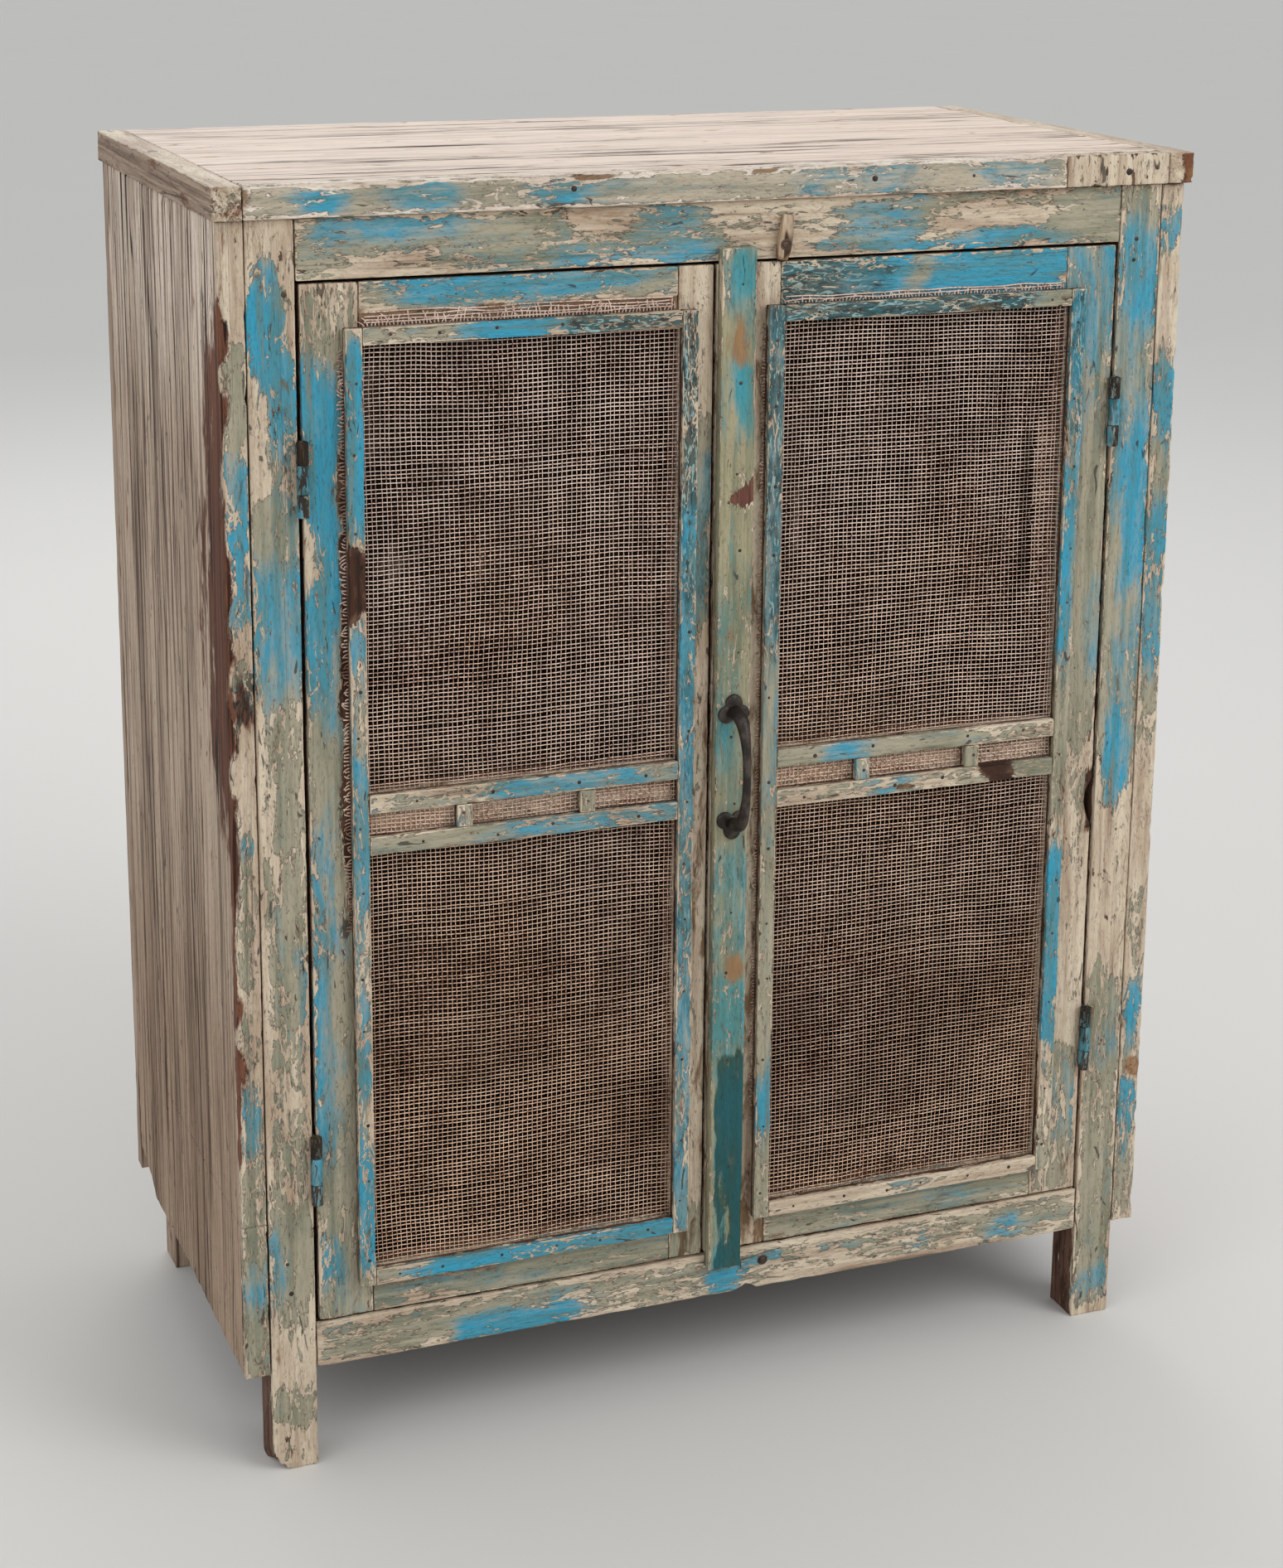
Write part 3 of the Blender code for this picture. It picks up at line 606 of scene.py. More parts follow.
@dataclass
class Graph:
    """Short hand for laying nodes into one tree."""

    tree: Tree

    def feed(self, node: Node, inputs: dict) -> None:
        """Links or sets inputs of a node.

        Args:
            node: the node.
            inputs: sockets or values by input name or number.
        """
        for name, value in inputs.items():
            if isinstance(value, Socket):
                self.tree.links.new(value, node.inputs[name])
            else:
                node.inputs[name].default_value = value

    def node(self, kind: str, inputs: dict | None = None, **settings: object) -> Node:
        """Adds a node.

        Args:
            kind: the node's type name.
            inputs: sockets or values by input name or number.
            settings: properties of the node.
        Returns:
            The new node.
        """
        made = self.tree.nodes.new(kind)
        for name, value in settings.items():
            setattr(made, name, value)
        self.feed(made, inputs or {})
        return made

    def mark(self, name: str, output: str = "Fac") -> Socket:
        """Reads one of the marks of a piece."""
        return self.node("ShaderNodeAttribute", attribute_name=name).outputs[output]

    def math(self, operation: str, *values: Socket | float, clamp: bool = False) -> Socket:
        """A Math node's result."""
        made = self.node("ShaderNodeMath", dict(enumerate(values)), operation=operation, use_clamp=clamp)
        return made.outputs[0]

    def times(self, first: Socket, second: Socket | float, clamp: bool = False) -> Socket:
        """Two values multiplied."""
        return self.math("MULTIPLY", first, second, clamp=clamp)

    def plus(self, base: Socket | float, value: Socket, share: float) -> Socket:
        """A share of a value added to another."""
        return self.math("MULTIPLY_ADD", value, share, base)

    def pushed(self, base: Socket | float, noise: Socket, reach: float) -> Socket:
        """A value that noise pushes up and down."""
        return self.plus(base, self.math("SUBTRACT", noise, 0.5), reach)

    def vector(self, operation: str, *values: Socket | tuple) -> Socket:
        """A Vector Math node's result."""
        return self.node("ShaderNodeVectorMath", dict(enumerate(values)), operation=operation).outputs[0]

    def ramp(self, value: Socket, low: float, high: float, first: float = 0.0, last: float = 1.0) -> Socket:
        """A smooth step between two levels."""
        inputs = {0: value, 1: low, 2: high, 3: first, 4: last}
        return self.node("ShaderNodeMapRange", inputs, interpolation_type="SMOOTHSTEP").outputs[0]

    def noise(
        self, place: Socket, scale: float, detail: float = 3.0, rough: float = 0.55, warp: float = 0.0
    ) -> Socket:
        """Noise from about 0 to 1.

        Args:
            place: coordinates.
            scale: cells for each metre.
            detail: finer layers.
            rough: weight of the finer layers.
            warp: how far the noise bends itself.
        Returns:
            The noise, spread over its usual range.
        """
        inputs = {"Vector": place, "Scale": scale, "Detail": detail, "Roughness": rough, "Distortion": warp}
        made = self.node("ShaderNodeTexNoise", inputs).outputs["Fac"]
        spread = {0: made, 1: NOISE_LOW, 2: NOISE_HIGH}
        return self.node("ShaderNodeMapRange", spread, clamp=False).outputs[0]

    def mix(
        self, share: Socket | float, first: Socket | tuple, second: Socket | tuple, blend: str = "MIX"
    ) -> Socket:
        """A colour mix."""
        settings = {"data_type": "RGBA", "blend_type": blend, "clamp_factor": True}
        return self.node("ShaderNodeMix", {0: share, 6: first, 7: second}, **settings).outputs[2]

    def dyed(self, colour: Socket, tint: Socket | tuple) -> Socket:
        """A colour under a tint."""
        return self.mix(1.0, colour, tint, "MULTIPLY")


@dataclass
class Effect:
    """A shader node group that several finishes share."""

    name: str
    inputs: dict[str, str]
    outputs: dict[str, str]

    def begin(self) -> tuple[Graph, dict[str, Socket], Node]:
        """Starts the group's tree.

        Returns:
            Its graph, its input sockets by name and its output node.
        """
        tree = bpy.data.node_groups.new(self.name, "ShaderNodeTree")
        for way, sockets in (("INPUT", self.inputs), ("OUTPUT", self.outputs)):
            for name, kind in sockets.items():
                tree.interface.new_socket(name=name, in_out=way, socket_type=kind)
        graph = Graph(tree)
        start = graph.node("NodeGroupInput")
        end = graph.node("NodeGroupOutput")
        return graph, {name: start.outputs[name] for name in self.inputs}, end


VALUE = "NodeSocketFloat"
VECTOR = "NodeSocketVector"
COLOUR = "NodeSocketColor"
PAINTS = ("Blue", "Sage", "Cream")

CLOUD_TINT = (0.66, 0.62, 0.58, 1.0)
CRACK_TINT = (0.22, 0.2, 0.19, 1.0)
TARNISH_TINT = (0.55, 0.40, 0.33, 1.0)
# Greys tarnished bare wood, and paints shade on the side boards.
GREYED_AND_SHADED_TINT = (0.5, 0.42, 0.35, 1.0)
# Painted shade for the faces inside the cupboard.
INSIDE_SHADE_TINT = (0.085, 0.052, 0.036, 1.0)
BLOT = (0.018, 0.02, 0.018, 1.0)
GLINT = (0.36, 0.52, 0.5, 1.0)
CRAZE = (0.13, 0.085, 0.06, 1.0)
# Painted shadow and dirt along the edges of chips.
CHIP_SHADOW_AND_DIRT = (0.05, 0.034, 0.025, 1.0)
GOUGE = (0.03, 0.024, 0.02, 1.0)
SPECK = (0.03, 0.025, 0.02, 1.0)
DARK_RUST = (0.19, 0.075, 0.028, 1.0)
LIGHT_RUST = (0.36, 0.19, 0.075, 1.0)


@dataclass
class Workshop:
    """Builds the shared effects once and keeps the finished materials."""

    groups: dict[str, Tree] = field(default_factory=dict)
    materials: dict[str, Material] = field(default_factory=dict)

    def group(self, graph: Graph, effect: str, inputs: dict) -> Node:
        """Places a shared effect in a tree.

        Args:
            graph: the tree that uses it.
            effect: name of the method that builds it.
            inputs: sockets or values by name.
        Returns:
            The group node.
        """
        if effect not in self.groups:
            self.groups[effect] = {"grain": self.grain, "coats": self.coats, "dirt": self.dirt}[effect]()
        return graph.node("ShaderNodeGroup", inputs, node_tree=self.groups[effect])

    def grain(self) -> Tree:
        """Board grain: streaks, fibres and drying cracks along the fibres.

        Returns:
            The group's tree.
        """
        inputs = {"Vector": VECTOR, "Light": COLOUR, "Dark": COLOUR, "Streaks": VALUE, "Cracks": VALUE}
        graph, given, end = Effect("board grain", inputs, {"Color": COLOUR, "Height": VALUE}).begin()
        place, dark, cracks = given["Vector"], given["Dark"], given["Cracks"]
        broad = graph.noise(place, 115.0, 5.0, 0.62, 0.3)
        fibre = graph.noise(place, 360.0, 4.0, 0.65)
        cloud = graph.noise(place, 11.0, 3.0, 0.55)
        streak = graph.times(graph.ramp(broad, 0.6, 0.15), given["Streaks"], clamp=True)
        streak = graph.times(streak, graph.ramp(fibre, 0.1, 0.7, 0.35, 1.0))
        colour = graph.mix(streak, given["Light"], dark)
        colour = graph.mix(graph.ramp(fibre, 0.6, 0.05, 0.0, 0.4), colour, dark)
        cloudy = graph.times(graph.ramp(cloud, 0.5, 0.95), given["Streaks"])
        colour = graph.mix(cloudy, colour, graph.dyed(colour, CLOUD_TINT))
        dash = graph.noise(graph.vector("ADD", place, (7.0, 3.0, 5.0)), 170.0, 4.0, 0.6)
        dash = graph.times(graph.ramp(dash, 0.58, 0.76), graph.ramp(cloud, 0.3, 0.7))
        colour = graph.mix(graph.times(dash, cracks, clamp=True), colour, dark)
        split = graph.noise(graph.vector("MULTIPLY", place, (0.6, 0.6, 0.6)), 60.0, 2.0, 0.5, 0.4)
        line = graph.ramp(graph.math("ABSOLUTE", graph.math("SUBTRACT", split, 0.5)), 0.035, 0.008)
        where = graph.ramp(graph.noise(place, 17.0, 2.0), 0.62, 0.8)
        crack = graph.times(graph.times(line, where), cracks, clamp=True)
        colour = graph.mix(crack, colour, graph.dyed(dark, CRACK_TINT))
        height = graph.plus(graph.times(broad, 0.3), fibre, 0.35)
        graph.feed(end, {"Color": colour, "Height": graph.math("SUBTRACT", height, crack)})
        return graph.tree

    def coats(self) -> Tree:
        """Chipped coats: blue brushed over grey-green, chipped to the cream under them and to the wood;
        painted shadow and dirt darken the chip edges.

        Returns:
            The group's tree.
        """
        inputs = {"Vector": VECTOR, "Strokes": VECTOR, "Bare": COLOUR, "Edge": VALUE, "Tarnish": VALUE}
        inputs |= {coat: VALUE for coat in PAINTS}
        inputs |= {f"{coat} {kind}": COLOUR for coat in PAINTS for kind in ("Color", "Shade")}
        outputs = {"Color": COLOUR, "Height": VALUE, "Cover": VALUE}
        graph, given, end = Effect("chipped coats", inputs, outputs).begin()
        place, tarnish = given["Vector"], given["Tarnish"]
        fleck = graph.noise(place, 190.0, 4.0, 0.6, 1.2)
        brush = graph.noise(given["Strokes"], 110.0, 4.0, 0.65, 0.3)
        cloud = graph.noise(place, 30.0, 4.0, 0.62, 0.6)
        tone = graph.ramp(graph.plus(graph.times(cloud, 0.4), brush, 0.6), 0.22, 0.88)
        shades = {coat: graph.mix(tone, given[coat + " Color"], given[coat + " Shade"]) for coat in PAINTS}

        drift = graph.noise(graph.vector("ADD", place, (3.1, 1.7, 0.9)), 42.0, 6.0, 0.64, 1.0)
        share = given["Blue"]
        for noise, reach in ((drift, 0.65), (brush, 0.45), (fleck, 0.25)):
            share = graph.pushed(share, noise, reach)
        painted = graph.mix(graph.ramp(share, 0.16, 0.9), shades["Sage"], shades["Blue"])

        gloom = graph.ramp(graph.pushed(tarnish, drift, 0.7), 0.2, 0.8)
        gloom = graph.times(gloom, graph.ramp(tarnish, 0.02, 0.2))
        painted = graph.mix(gloom, painted, graph.dyed(painted, TARNISH_TINT))
        blot = graph.ramp(graph.noise(place, 150.0, 4.0, 0.6, 1.0), 0.5, 0.72, 0.0, 0.75)
        painted = graph.mix(graph.times(gloom, blot), painted, BLOT)
        glint = graph.ramp(graph.noise(place, 230.0, 3.0, 0.6, 1.6), 0.6, 0.72, 0.0, 0.8)
        painted = graph.mix(graph.times(gloom, glint), painted, GLINT)

        curl = graph.math("SUBTRACT", graph.noise(place, 85.0, 3.0, 0.5, 1.6), 0.5)
        curl = graph.math("ABSOLUTE", curl)
        crowd = graph.ramp(graph.plus(cloud, tarnish, 0.25), 0.36, 0.72)
        worm = graph.times(graph.ramp(curl, 0.09, 0.03), crowd)
        kept = graph.plus(graph.math("MAXIMUM", given["Blue"], given["Sage"]), worm, -0.5)
        craze = graph.times(graph.ramp(curl, 0.05, 0.015), graph.ramp(drift, 0.45, 0.75, 0.0, 0.5))
        crazed = graph.mix(craze, shades["Cream"], CRAZE)

        # Tarnish greys bare wood; on the side boards this darkening is painted shade, darker towards the
        # bottom.
        greyed_and_shaded = graph.dyed(given["Bare"], GREYED_AND_SHADED_TINT)
        colour = graph.mix(graph.times(tarnish, 1.0, clamp=True), given["Bare"], greyed_and_shaded)
        height: Socket | float = 0.0
        cover: Socket | float = 0.0
        chips = ((given["Cream"], crazed, 90.0, -0.1), (kept, painted, 100.0, -0.5))
        for number, (amount, shade, size, wear) in enumerate(chips):
            moved = graph.vector("ADD", place, (2.3 * number, 1.1, 4.7))
            level = graph.pushed(amount, graph.noise(moved, size, 6.0, 0.62, 1.1), 0.85)
            level = graph.plus(graph.pushed(level, fleck, 0.5), given["Edge"], wear)
            mask = graph.ramp(level, 0.47, 0.53)
            # Painted shadow and dirt: a dark line just outside each chip's edge.
            chip_shadow_and_dirt = graph.math("SUBTRACT", graph.ramp(level, 0.39, 0.48), mask, clamp=True)
            colour = graph.mix(graph.times(chip_shadow_and_dirt, 0.75), colour, CHIP_SHADOW_AND_DIRT)
            thin = graph.mix(graph.ramp(brush, 0.68, 1.0, 0.0, 0.5), shade, colour)
            colour = graph.mix(mask, colour, thin)
            height = graph.plus(height, mask, 0.5)
            cover = graph.math("MAXIMUM", mask, cover)

        gouge = graph.noise(graph.vector("ADD", place, (9.0, 2.0, 6.0)), 120.0, 3.0, 0.5, 0.8)
        colour = graph.mix(graph.times(graph.ramp(gouge, 0.88, 0.98), 0.8), colour, GOUGE)
        speck = graph.noise(place, 520.0, 3.0, 0.6)
        colour = graph.mix(graph.ramp(speck, 0.45, 0.0, 0.0, 0.35), colour, SPECK)
        graph.feed(end, {"Color": colour, "Height": graph.plus(height, fleck, 0.5), "Cover": cover})
        return graph.tree

    def dirt(self) -> Tree:
        """Settled dirt: a brown film in blotches and rust, with painted shade darkening the faces inside the
        cupboard.

        Returns:
            The group's tree.
        """
        inputs = {"Vector": VECTOR, "Color": COLOUR, "Amount": VALUE}
        inputs |= {"Film": COLOUR, "Inside": VALUE, "Stain": VALUE}
        graph, given, end = Effect("settled dirt", inputs, {"Color": COLOUR, "Mask": VALUE}).begin()
        blotch = graph.noise(given["Vector"], 65.0, 5.0, 0.65, 0.5)
        level = graph.math("ADD", given["Amount"], graph.plus(-1.05, blotch, 1.1))
        mask = graph.ramp(level, -0.16, 0.2)
        colour = graph.mix(mask, given["Color"], graph.dyed(given["Color"], given["Film"]))
        spread = graph.math("ADD", given["Stain"], graph.plus(-0.95, blotch, 0.9))
        rust = graph.ramp(spread, -0.3, 0.3, 0.0, 0.85)
        colour = graph.mix(rust, colour, graph.mix(blotch, DARK_RUST, LIGHT_RUST))
        # Painted shade: faces inside the cupboard are darkened almost to black.
        colour = graph.mix(given["Inside"], colour, graph.dyed(colour, INSIDE_SHADE_TINT))
        graph.feed(end, {"Color": colour, "Mask": mask})
        return graph.tree


SHOP = Workshop()


def new_material(name: str) -> tuple[Material, Graph, Node]:
    """Starts a material with an empty Principled shader.

    Args:
        name: the material's name.
    Returns:
        The material, its graph and its shader node.
    """
    material = bpy.data.materials.new(name)
    material.use_nodes = True
    material.node_tree.nodes.clear()
    graph = Graph(material.node_tree)
    shader = graph.node("ShaderNodeBsdfPrincipled")
    graph.node("ShaderNodeOutputMaterial", {"Surface": shader.outputs[0]})
    return material, graph, shader


def shifted_place(graph: Graph) -> Socket:
    """Coordinates of a piece, moved by its own shift so that no two pieces share a pattern."""
    place = graph.node("ShaderNodeTexCoord").outputs["Object"]
    return graph.vector("ADD", place, graph.mark("shift", "Vector"))


def stretched(graph: Graph, place: Socket, grain: Grain, along: float) -> Socket:
    """Coordinates drawn out along the grain."""
    scale = tuple(along if axis is grain else 1.0 for axis in Grain)
    return graph.vector("MULTIPLY", place, scale)


def bump(graph: Graph, height: Socket, strength: float, distance: float) -> Socket:
    """A normal that follows a height."""
    inputs = {"Height": height, "Strength": strength, "Distance": distance}
    return graph.node("ShaderNodeBump", inputs).outputs[0]


def soiled(graph: Graph, place: Socket, colour: Socket, film: Colour, stain: Socket | float) -> Node:
    """Lays settled dirt over a colour, and painted shade on the faces inside the cupboard.

    Args:
        graph: the material's graph.
        place: coordinates of the blotches.
        colour: what the dirt lies on.
        film: tint of the dirt.
        stain: amount of rust.
    Returns:
        The group node.
    """
    inputs = {"Vector": place, "Color": colour, "Amount": graph.mark("coats", "Alpha")}
    inputs |= {"Film": linear(film), "Inside": graph.mark("inside"), "Stain": stain}
    return SHOP.group(graph, "dirt", inputs)


@dataclass(frozen=True)
class WoodTone:
    """Colours of bare wood."""

    light: Colour
    dark: Colour
    streaks: float
    cracks: float

    def board(self, graph: Graph, place: Socket) -> Node:
        """Places the board grain in these colours."""
        colours = {"Light": linear(self.light), "Dark": linear(self.dark)}
        wear = {"Streaks": self.streaks, "Cracks": self.cracks}
        return SHOP.group(graph, "grain", {"Vector": place, **colours, **wear})


WEATHERED = WoodTone((178, 156, 136), (76, 51, 38), 0.7, 1.0)
SILVERED = WoodTone((240, 223, 205), (98, 72, 57), 0.85, 1.3)
UNDER_PAINT = WoodTone((116, 84, 67), (62, 40, 31), 0.9, 0.8)
SANDED = WoodTone((238, 219, 202), (82, 57, 46), 0.22, 1.6)
# Aged inner wood, darkened further as painted shade inside the cupboard.
AGED_AND_SHADED_INSIDE = WoodTone((52, 38, 29), (28, 19, 14), 0.8, 0.7)
RED_BROWN = WoodTone((118, 74, 60), (74, 42, 34), 0.7, 0.5)
DRY_BUTTON = WoodTone((196, 174, 148), (120, 92, 68), 0.7, 1.0)
HINGE_TONE = WoodTone((70, 62, 56), (34, 28, 24), 0.5, 0.0)


@dataclass(frozen=True)
class Finish:
    """A finish whose material is made once for each direction of grain."""

    name: str
    slot: Slot

    def material(self, grain: Grain | None = None) -> Material:
        """The finish's material.

        Args:
            grain: direction of the fibres, or None where there are none.
        Returns:
            The material, made once.
        """
        name = self.name if grain is None else f"{self.name} {grain.name.lower()}"
        if name not in SHOP.materials:
            SHOP.materials[name], graph, shader = new_material(name)
            graph.feed(shader, self.looks(graph, shifted_place(graph), grain))
        return SHOP.materials[name]

    def looks(self, graph: Graph, place: Socket, grain: Grain | None) -> dict:
        """What the shader takes by input name, which each kind of finish gives."""
        raise NotImplementedError


@dataclass(frozen=True)
class PaintedWood(Finish):
    """Old paint in three coats over wood, each with its colour and its shade."""

    tone: WoodTone
    blue: tuple[Colour, Colour] = ((48, 158, 190), (88, 128, 126))
    sage: tuple[Colour, Colour] = ((174, 165, 142), (116, 120, 98))
    cream: tuple[Colour, Colour] = ((221, 205, 180), (172, 146, 122))
    film: Colour = (160, 138, 116)
    drawn_out: float = 0.26

    def looks(self, graph: Graph, place: Socket, grain: Grain) -> dict:
        """What the shader takes.

        Args:
            graph: the material's graph.
            place: coordinates of the piece.
            grain: direction of the fibres.
        Returns:
            Sockets and values by input name.
        """
        bare = self.tone.board(graph, stretched(graph, place, grain, 0.026))
        spread = stretched(graph, place, grain, self.drawn_out)
        paint = {"Vector": spread, "Strokes": stretched(graph, place, grain, 0.05)}
        paint |= {name: graph.mark(name.lower()) for name in ("Edge", "Tarnish")}
        paint["Bare"] = bare.outputs["Color"]
        split = graph.node("ShaderNodeSeparateColor", {0: graph.mark("coats", "Color")})
        for coat, amount, tones in zip(PAINTS, split.outputs, (self.blue, self.sage, self.cream)):
            paint |= {coat: amount, f"{coat} Color": linear(tones[0]), f"{coat} Shade": linear(tones[1])}
        coats = SHOP.group(graph, "coats", paint)
        dirt = soiled(graph, spread, coats.outputs["Color"], self.film, graph.mark("stain"))
        height = graph.plus(coats.outputs["Height"], bare.outputs["Height"], 0.5)
        return {
            "Base Color": dirt.outputs["Color"],
            "Roughness": graph.ramp(coats.outputs["Cover"], 0.0, 1.0, 0.82, 0.58),
            "Specular IOR Level": 0.35,
            "Normal": bump(graph, height, 1.0, 0.0018),
        }


@dataclass(frozen=True)
class BareWood(Finish):
    """Unpainted board."""

    tone: WoodTone
    roughness: float = 0.75
    drawn_out: float = 0.026
    film: Colour = (165, 140, 118)

    def looks(self, graph: Graph, place: Socket, grain: Grain) -> dict:
        """What the shader takes.

        Args:
            graph: the material's graph.
            place: coordinates of the piece.
            grain: direction of the fibres.
        Returns:
            Sockets and values by input name.
        """
        bare = self.tone.board(graph, stretched(graph, place, grain, self.drawn_out))
        dirt = soiled(graph, stretched(graph, place, grain, 0.3), bare.outputs["Color"], self.film, 0.0)
        return {
            "Base Color": dirt.outputs["Color"],
            "Roughness": graph.ramp(dirt.outputs["Mask"], 0.0, 1.0, self.roughness, 0.9),
            "Specular IOR Level": 0.3,
            "Normal": bump(graph, bare.outputs["Height"], 0.6, 0.0008),
        }


@dataclass(frozen=True)
class WovenWire(Finish):
    """Flat woven wire with old pale paint."""

    name: str = "woven wire"
    slot: Slot = Slot.WOVEN_MESH
    pale: Colour = (254, 229, 213)
    dull: Colour = (178, 136, 115)
    dirty: Colour = (108, 68, 42)
    yellowing: Colour = (255, 241, 222)

    def looks(self, graph: Graph, place: Socket, grain: Grain | None) -> dict:
        """What the shader takes.

        Args:
            graph: the material's graph.
            place: coordinates of the piece.
            grain: not used, as wire has none.
        Returns:
            Sockets and values by input name.
        """
        fine = graph.noise(place, 420.0, 2.0, 0.6)
        broad = graph.noise(place, 9.0, 4.0, 0.6, 0.4)
        share = graph.ramp(graph.plus(graph.times(broad, 0.3), fine, 0.7), 0.15, 0.6)
        colour = graph.mix(share, linear(self.dull), linear(self.pale))
        colour = graph.mix(graph.mark("stain"), colour, graph.dyed(colour, linear(self.yellowing)))
        return {
            "Base Color": graph.mix(graph.mark("coats", "Alpha"), colour, linear(self.dirty)),
            "Roughness": graph.ramp(fine, 0.0, 1.0, 0.6, 0.85),
            "Specular IOR Level": 0.25,
            "Normal": bump(graph, fine, 0.4, 0.0002),
        }


@dataclass(frozen=True)
class DarkIron(Finish):
    """Hand-rubbed cast iron, nails and screws."""

    dark: Colour
    rubbed: Colour
    metallic: float
    rust: Colour = (92, 58, 38)

    def looks(self, graph: Graph, place: Socket, grain: Grain | None) -> dict:
        """What the shader takes.

        Args:
            graph: the material's graph.
            place: coordinates of the piece.
            grain: not used, as iron has none.
        Returns:
            Sockets and values by input name.
        """
        pits = graph.noise(place, 520.0, 4.0, 0.6)
        cloud = graph.noise(place, 70.0, 4.0, 0.6)
        colour = graph.mix(graph.ramp(cloud, 0.3, 0.85), linear(self.dark), linear(self.rubbed))
        return {
            "Base Color": graph.mix(graph.ramp(pits, 0.75, 0.95, 0.0, 0.6), colour, linear(self.rust)),
            "Roughness": graph.ramp(pits, 0.1, 0.9, 0.36, 0.62),
            "Metallic": self.metallic,
            "Normal": bump(graph, graph.plus(cloud, pits, 0.6), 0.35, 0.0004),
        }


BLUE_WOOD = PaintedWood("chipped blue paint", Slot.BLUE_PAINT, UNDER_PAINT)
WORN_WOOD = PaintedWood("worn paint", Slot.WORN_PAINT, UNDER_PAINT)
STRIP_WOOD = PaintedWood(
    "olive strip paint",
    Slot.BLUE_PAINT,
    RED_BROWN,
    blue=((62, 152, 166), (84, 128, 118)),
    sage=((170, 160, 128), (108, 116, 92)),
    film=(112, 152, 150),
)
SIDE_WOOD = PaintedWood("weathered side board", Slot.BARE_BOARD, SILVERED, film=(140, 98, 80))
END_WOOD = PaintedWood("weathered edging", Slot.BARE_BOARD, WEATHERED, film=(172, 124, 102))
EDGING_WOOD = PaintedWood(
    "painted edging",
    Slot.WORN_PAINT,
    SANDED,
    sage=((190, 177, 155), (138, 134, 114)),
    cream=((238, 226, 210), (196, 172, 150)),
)
HINGE_PAINT = PaintedWood("painted hinge", Slot.HINGE_METAL, HINGE_TONE)
TOP_WOOD = BareWood("sanded top board", Slot.SANDED_TOP, SANDED, 0.68, 0.034)
BACK_WOOD = BareWood("weathered back board", Slot.BARE_BOARD, WEATHERED)
INNER_WOOD = BareWood("aged and shaded inner board", Slot.INNER_BOARD, AGED_AND_SHADED_INSIDE, 0.85)
BUTTON_WOOD = BareWood("dry button wood", Slot.BUTTON_WOOD, DRY_BUTTON)
HANDLE_IRON = DarkIron("handle iron", Slot.HANDLE_IRON, (34, 27, 23), (74, 64, 56), 0.4)
NAIL_IRON = DarkIron("nail iron", Slot.HANDLE_IRON, (44, 34, 28), (92, 70, 54), 0.3)
WIRE = WovenWire()


def fit(
    shell: Shell,
    name: str,
    finish: Finish,
    body: str,
    seed: int,
    *nodes: str,
    grain: Grain | None = None,
    coats: Array | None = None,
    edge: Array | None = None,
) -> None:
    """Makes a shell a dressed piece, fixes it to its body and hides the CAD nodes that it stands for.

    Args:
        shell: points and faces.
        name: the piece's name.
        finish: its finish.
        body: the CAD body it moves with.
        seed: picks the shift of its pattern.
        nodes: CAD nodes that it replaces.
        grain: direction of its fibres.
        coats: amounts for each point and coat, none of them where it is left out.
        edge: nearness to an edge for each point.
    """
    piece = shell.piece(name, finish.material(grain))
    clean = np.zeros((len(shell.points), len(Coat)))
    write_marks(piece, shell, clean if coats is None else coats, clean[:, 0] if edge is None else edge, seed)
    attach(piece, body)
    if nodes:
        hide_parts(*nodes)
    log.info("%s on %s: %d faces", name, body, len(piece.data.polygons))


def plank(name: str, node: str, box: Box, grain: Grain, finish: Finish, plan: PaintPlan, cut: Cut) -> None:
    """Builds a worn board between two corners.

    Args:
        name: the piece's name.
        node: the CAD node that it stands for.
        box: its lowest and highest corner.
        grain: direction of its fibres.
        finish: its paint or bare wood.
        plan: what is left of each coat.
        cut: how its edges and faces are worn.
    """
    seed = seed_of(name)
    shell, edge = WornBoard(*box, grain, seed, cut).shell()
    coats = plan.amounts(shell.points, box, grain, seed)
    fit(shell, name, finish, body_of(node), seed, node, grain=grain, coats=coats, edge=edge)


def joinery(node: str, grain: Grain, finish: Finish, plan: PaintPlan, cut: Cut) -> None:
    """Builds the worn board that stands for one CAD node.

    Args:
        node: the CAD node.
        grain: direction of its fibres.
        finish: its paint or bare wood.
        plan: what is left of each coat.
        cut: how its edges and faces are worn.
    """
    low, high = corners(node)
    slack = np.array(cut.slack)
    plank(f"worn_{node}", node, (low + slack, high - slack), grain, finish, plan, cut)


# Sides of some beads: grime, and painted shade where the bead meets the mesh.
SOILED_AND_SHADED_BEHIND = (0.0, 0.1, 0.3, 1.0)
BARE_PLAN = PaintPlan((0.0, 0.0, 0.0, 0.25), behind=(0.0, 0.0, 0.0, 0.25))
FINE = Cut(arris=0.0018, along=0.005, across=0.0035, relief=0.0003, nicks=1.0)
BOLD = Cut(arris=0.0024, along=0.009, across=0.0055)
WIDE = Cut(arris=0.0022, along=0.014, across=0.010, relief=0.0008)
POST_CUT = Cut(arris=0.0024, along=0.007, across=0.0055, slack=(0.0005, 0.0, 0.0))
SIDE_CUT = Cut(arris=0.0032, along=0.006, across=0.008, relief=0.0008, nicks=1.5)


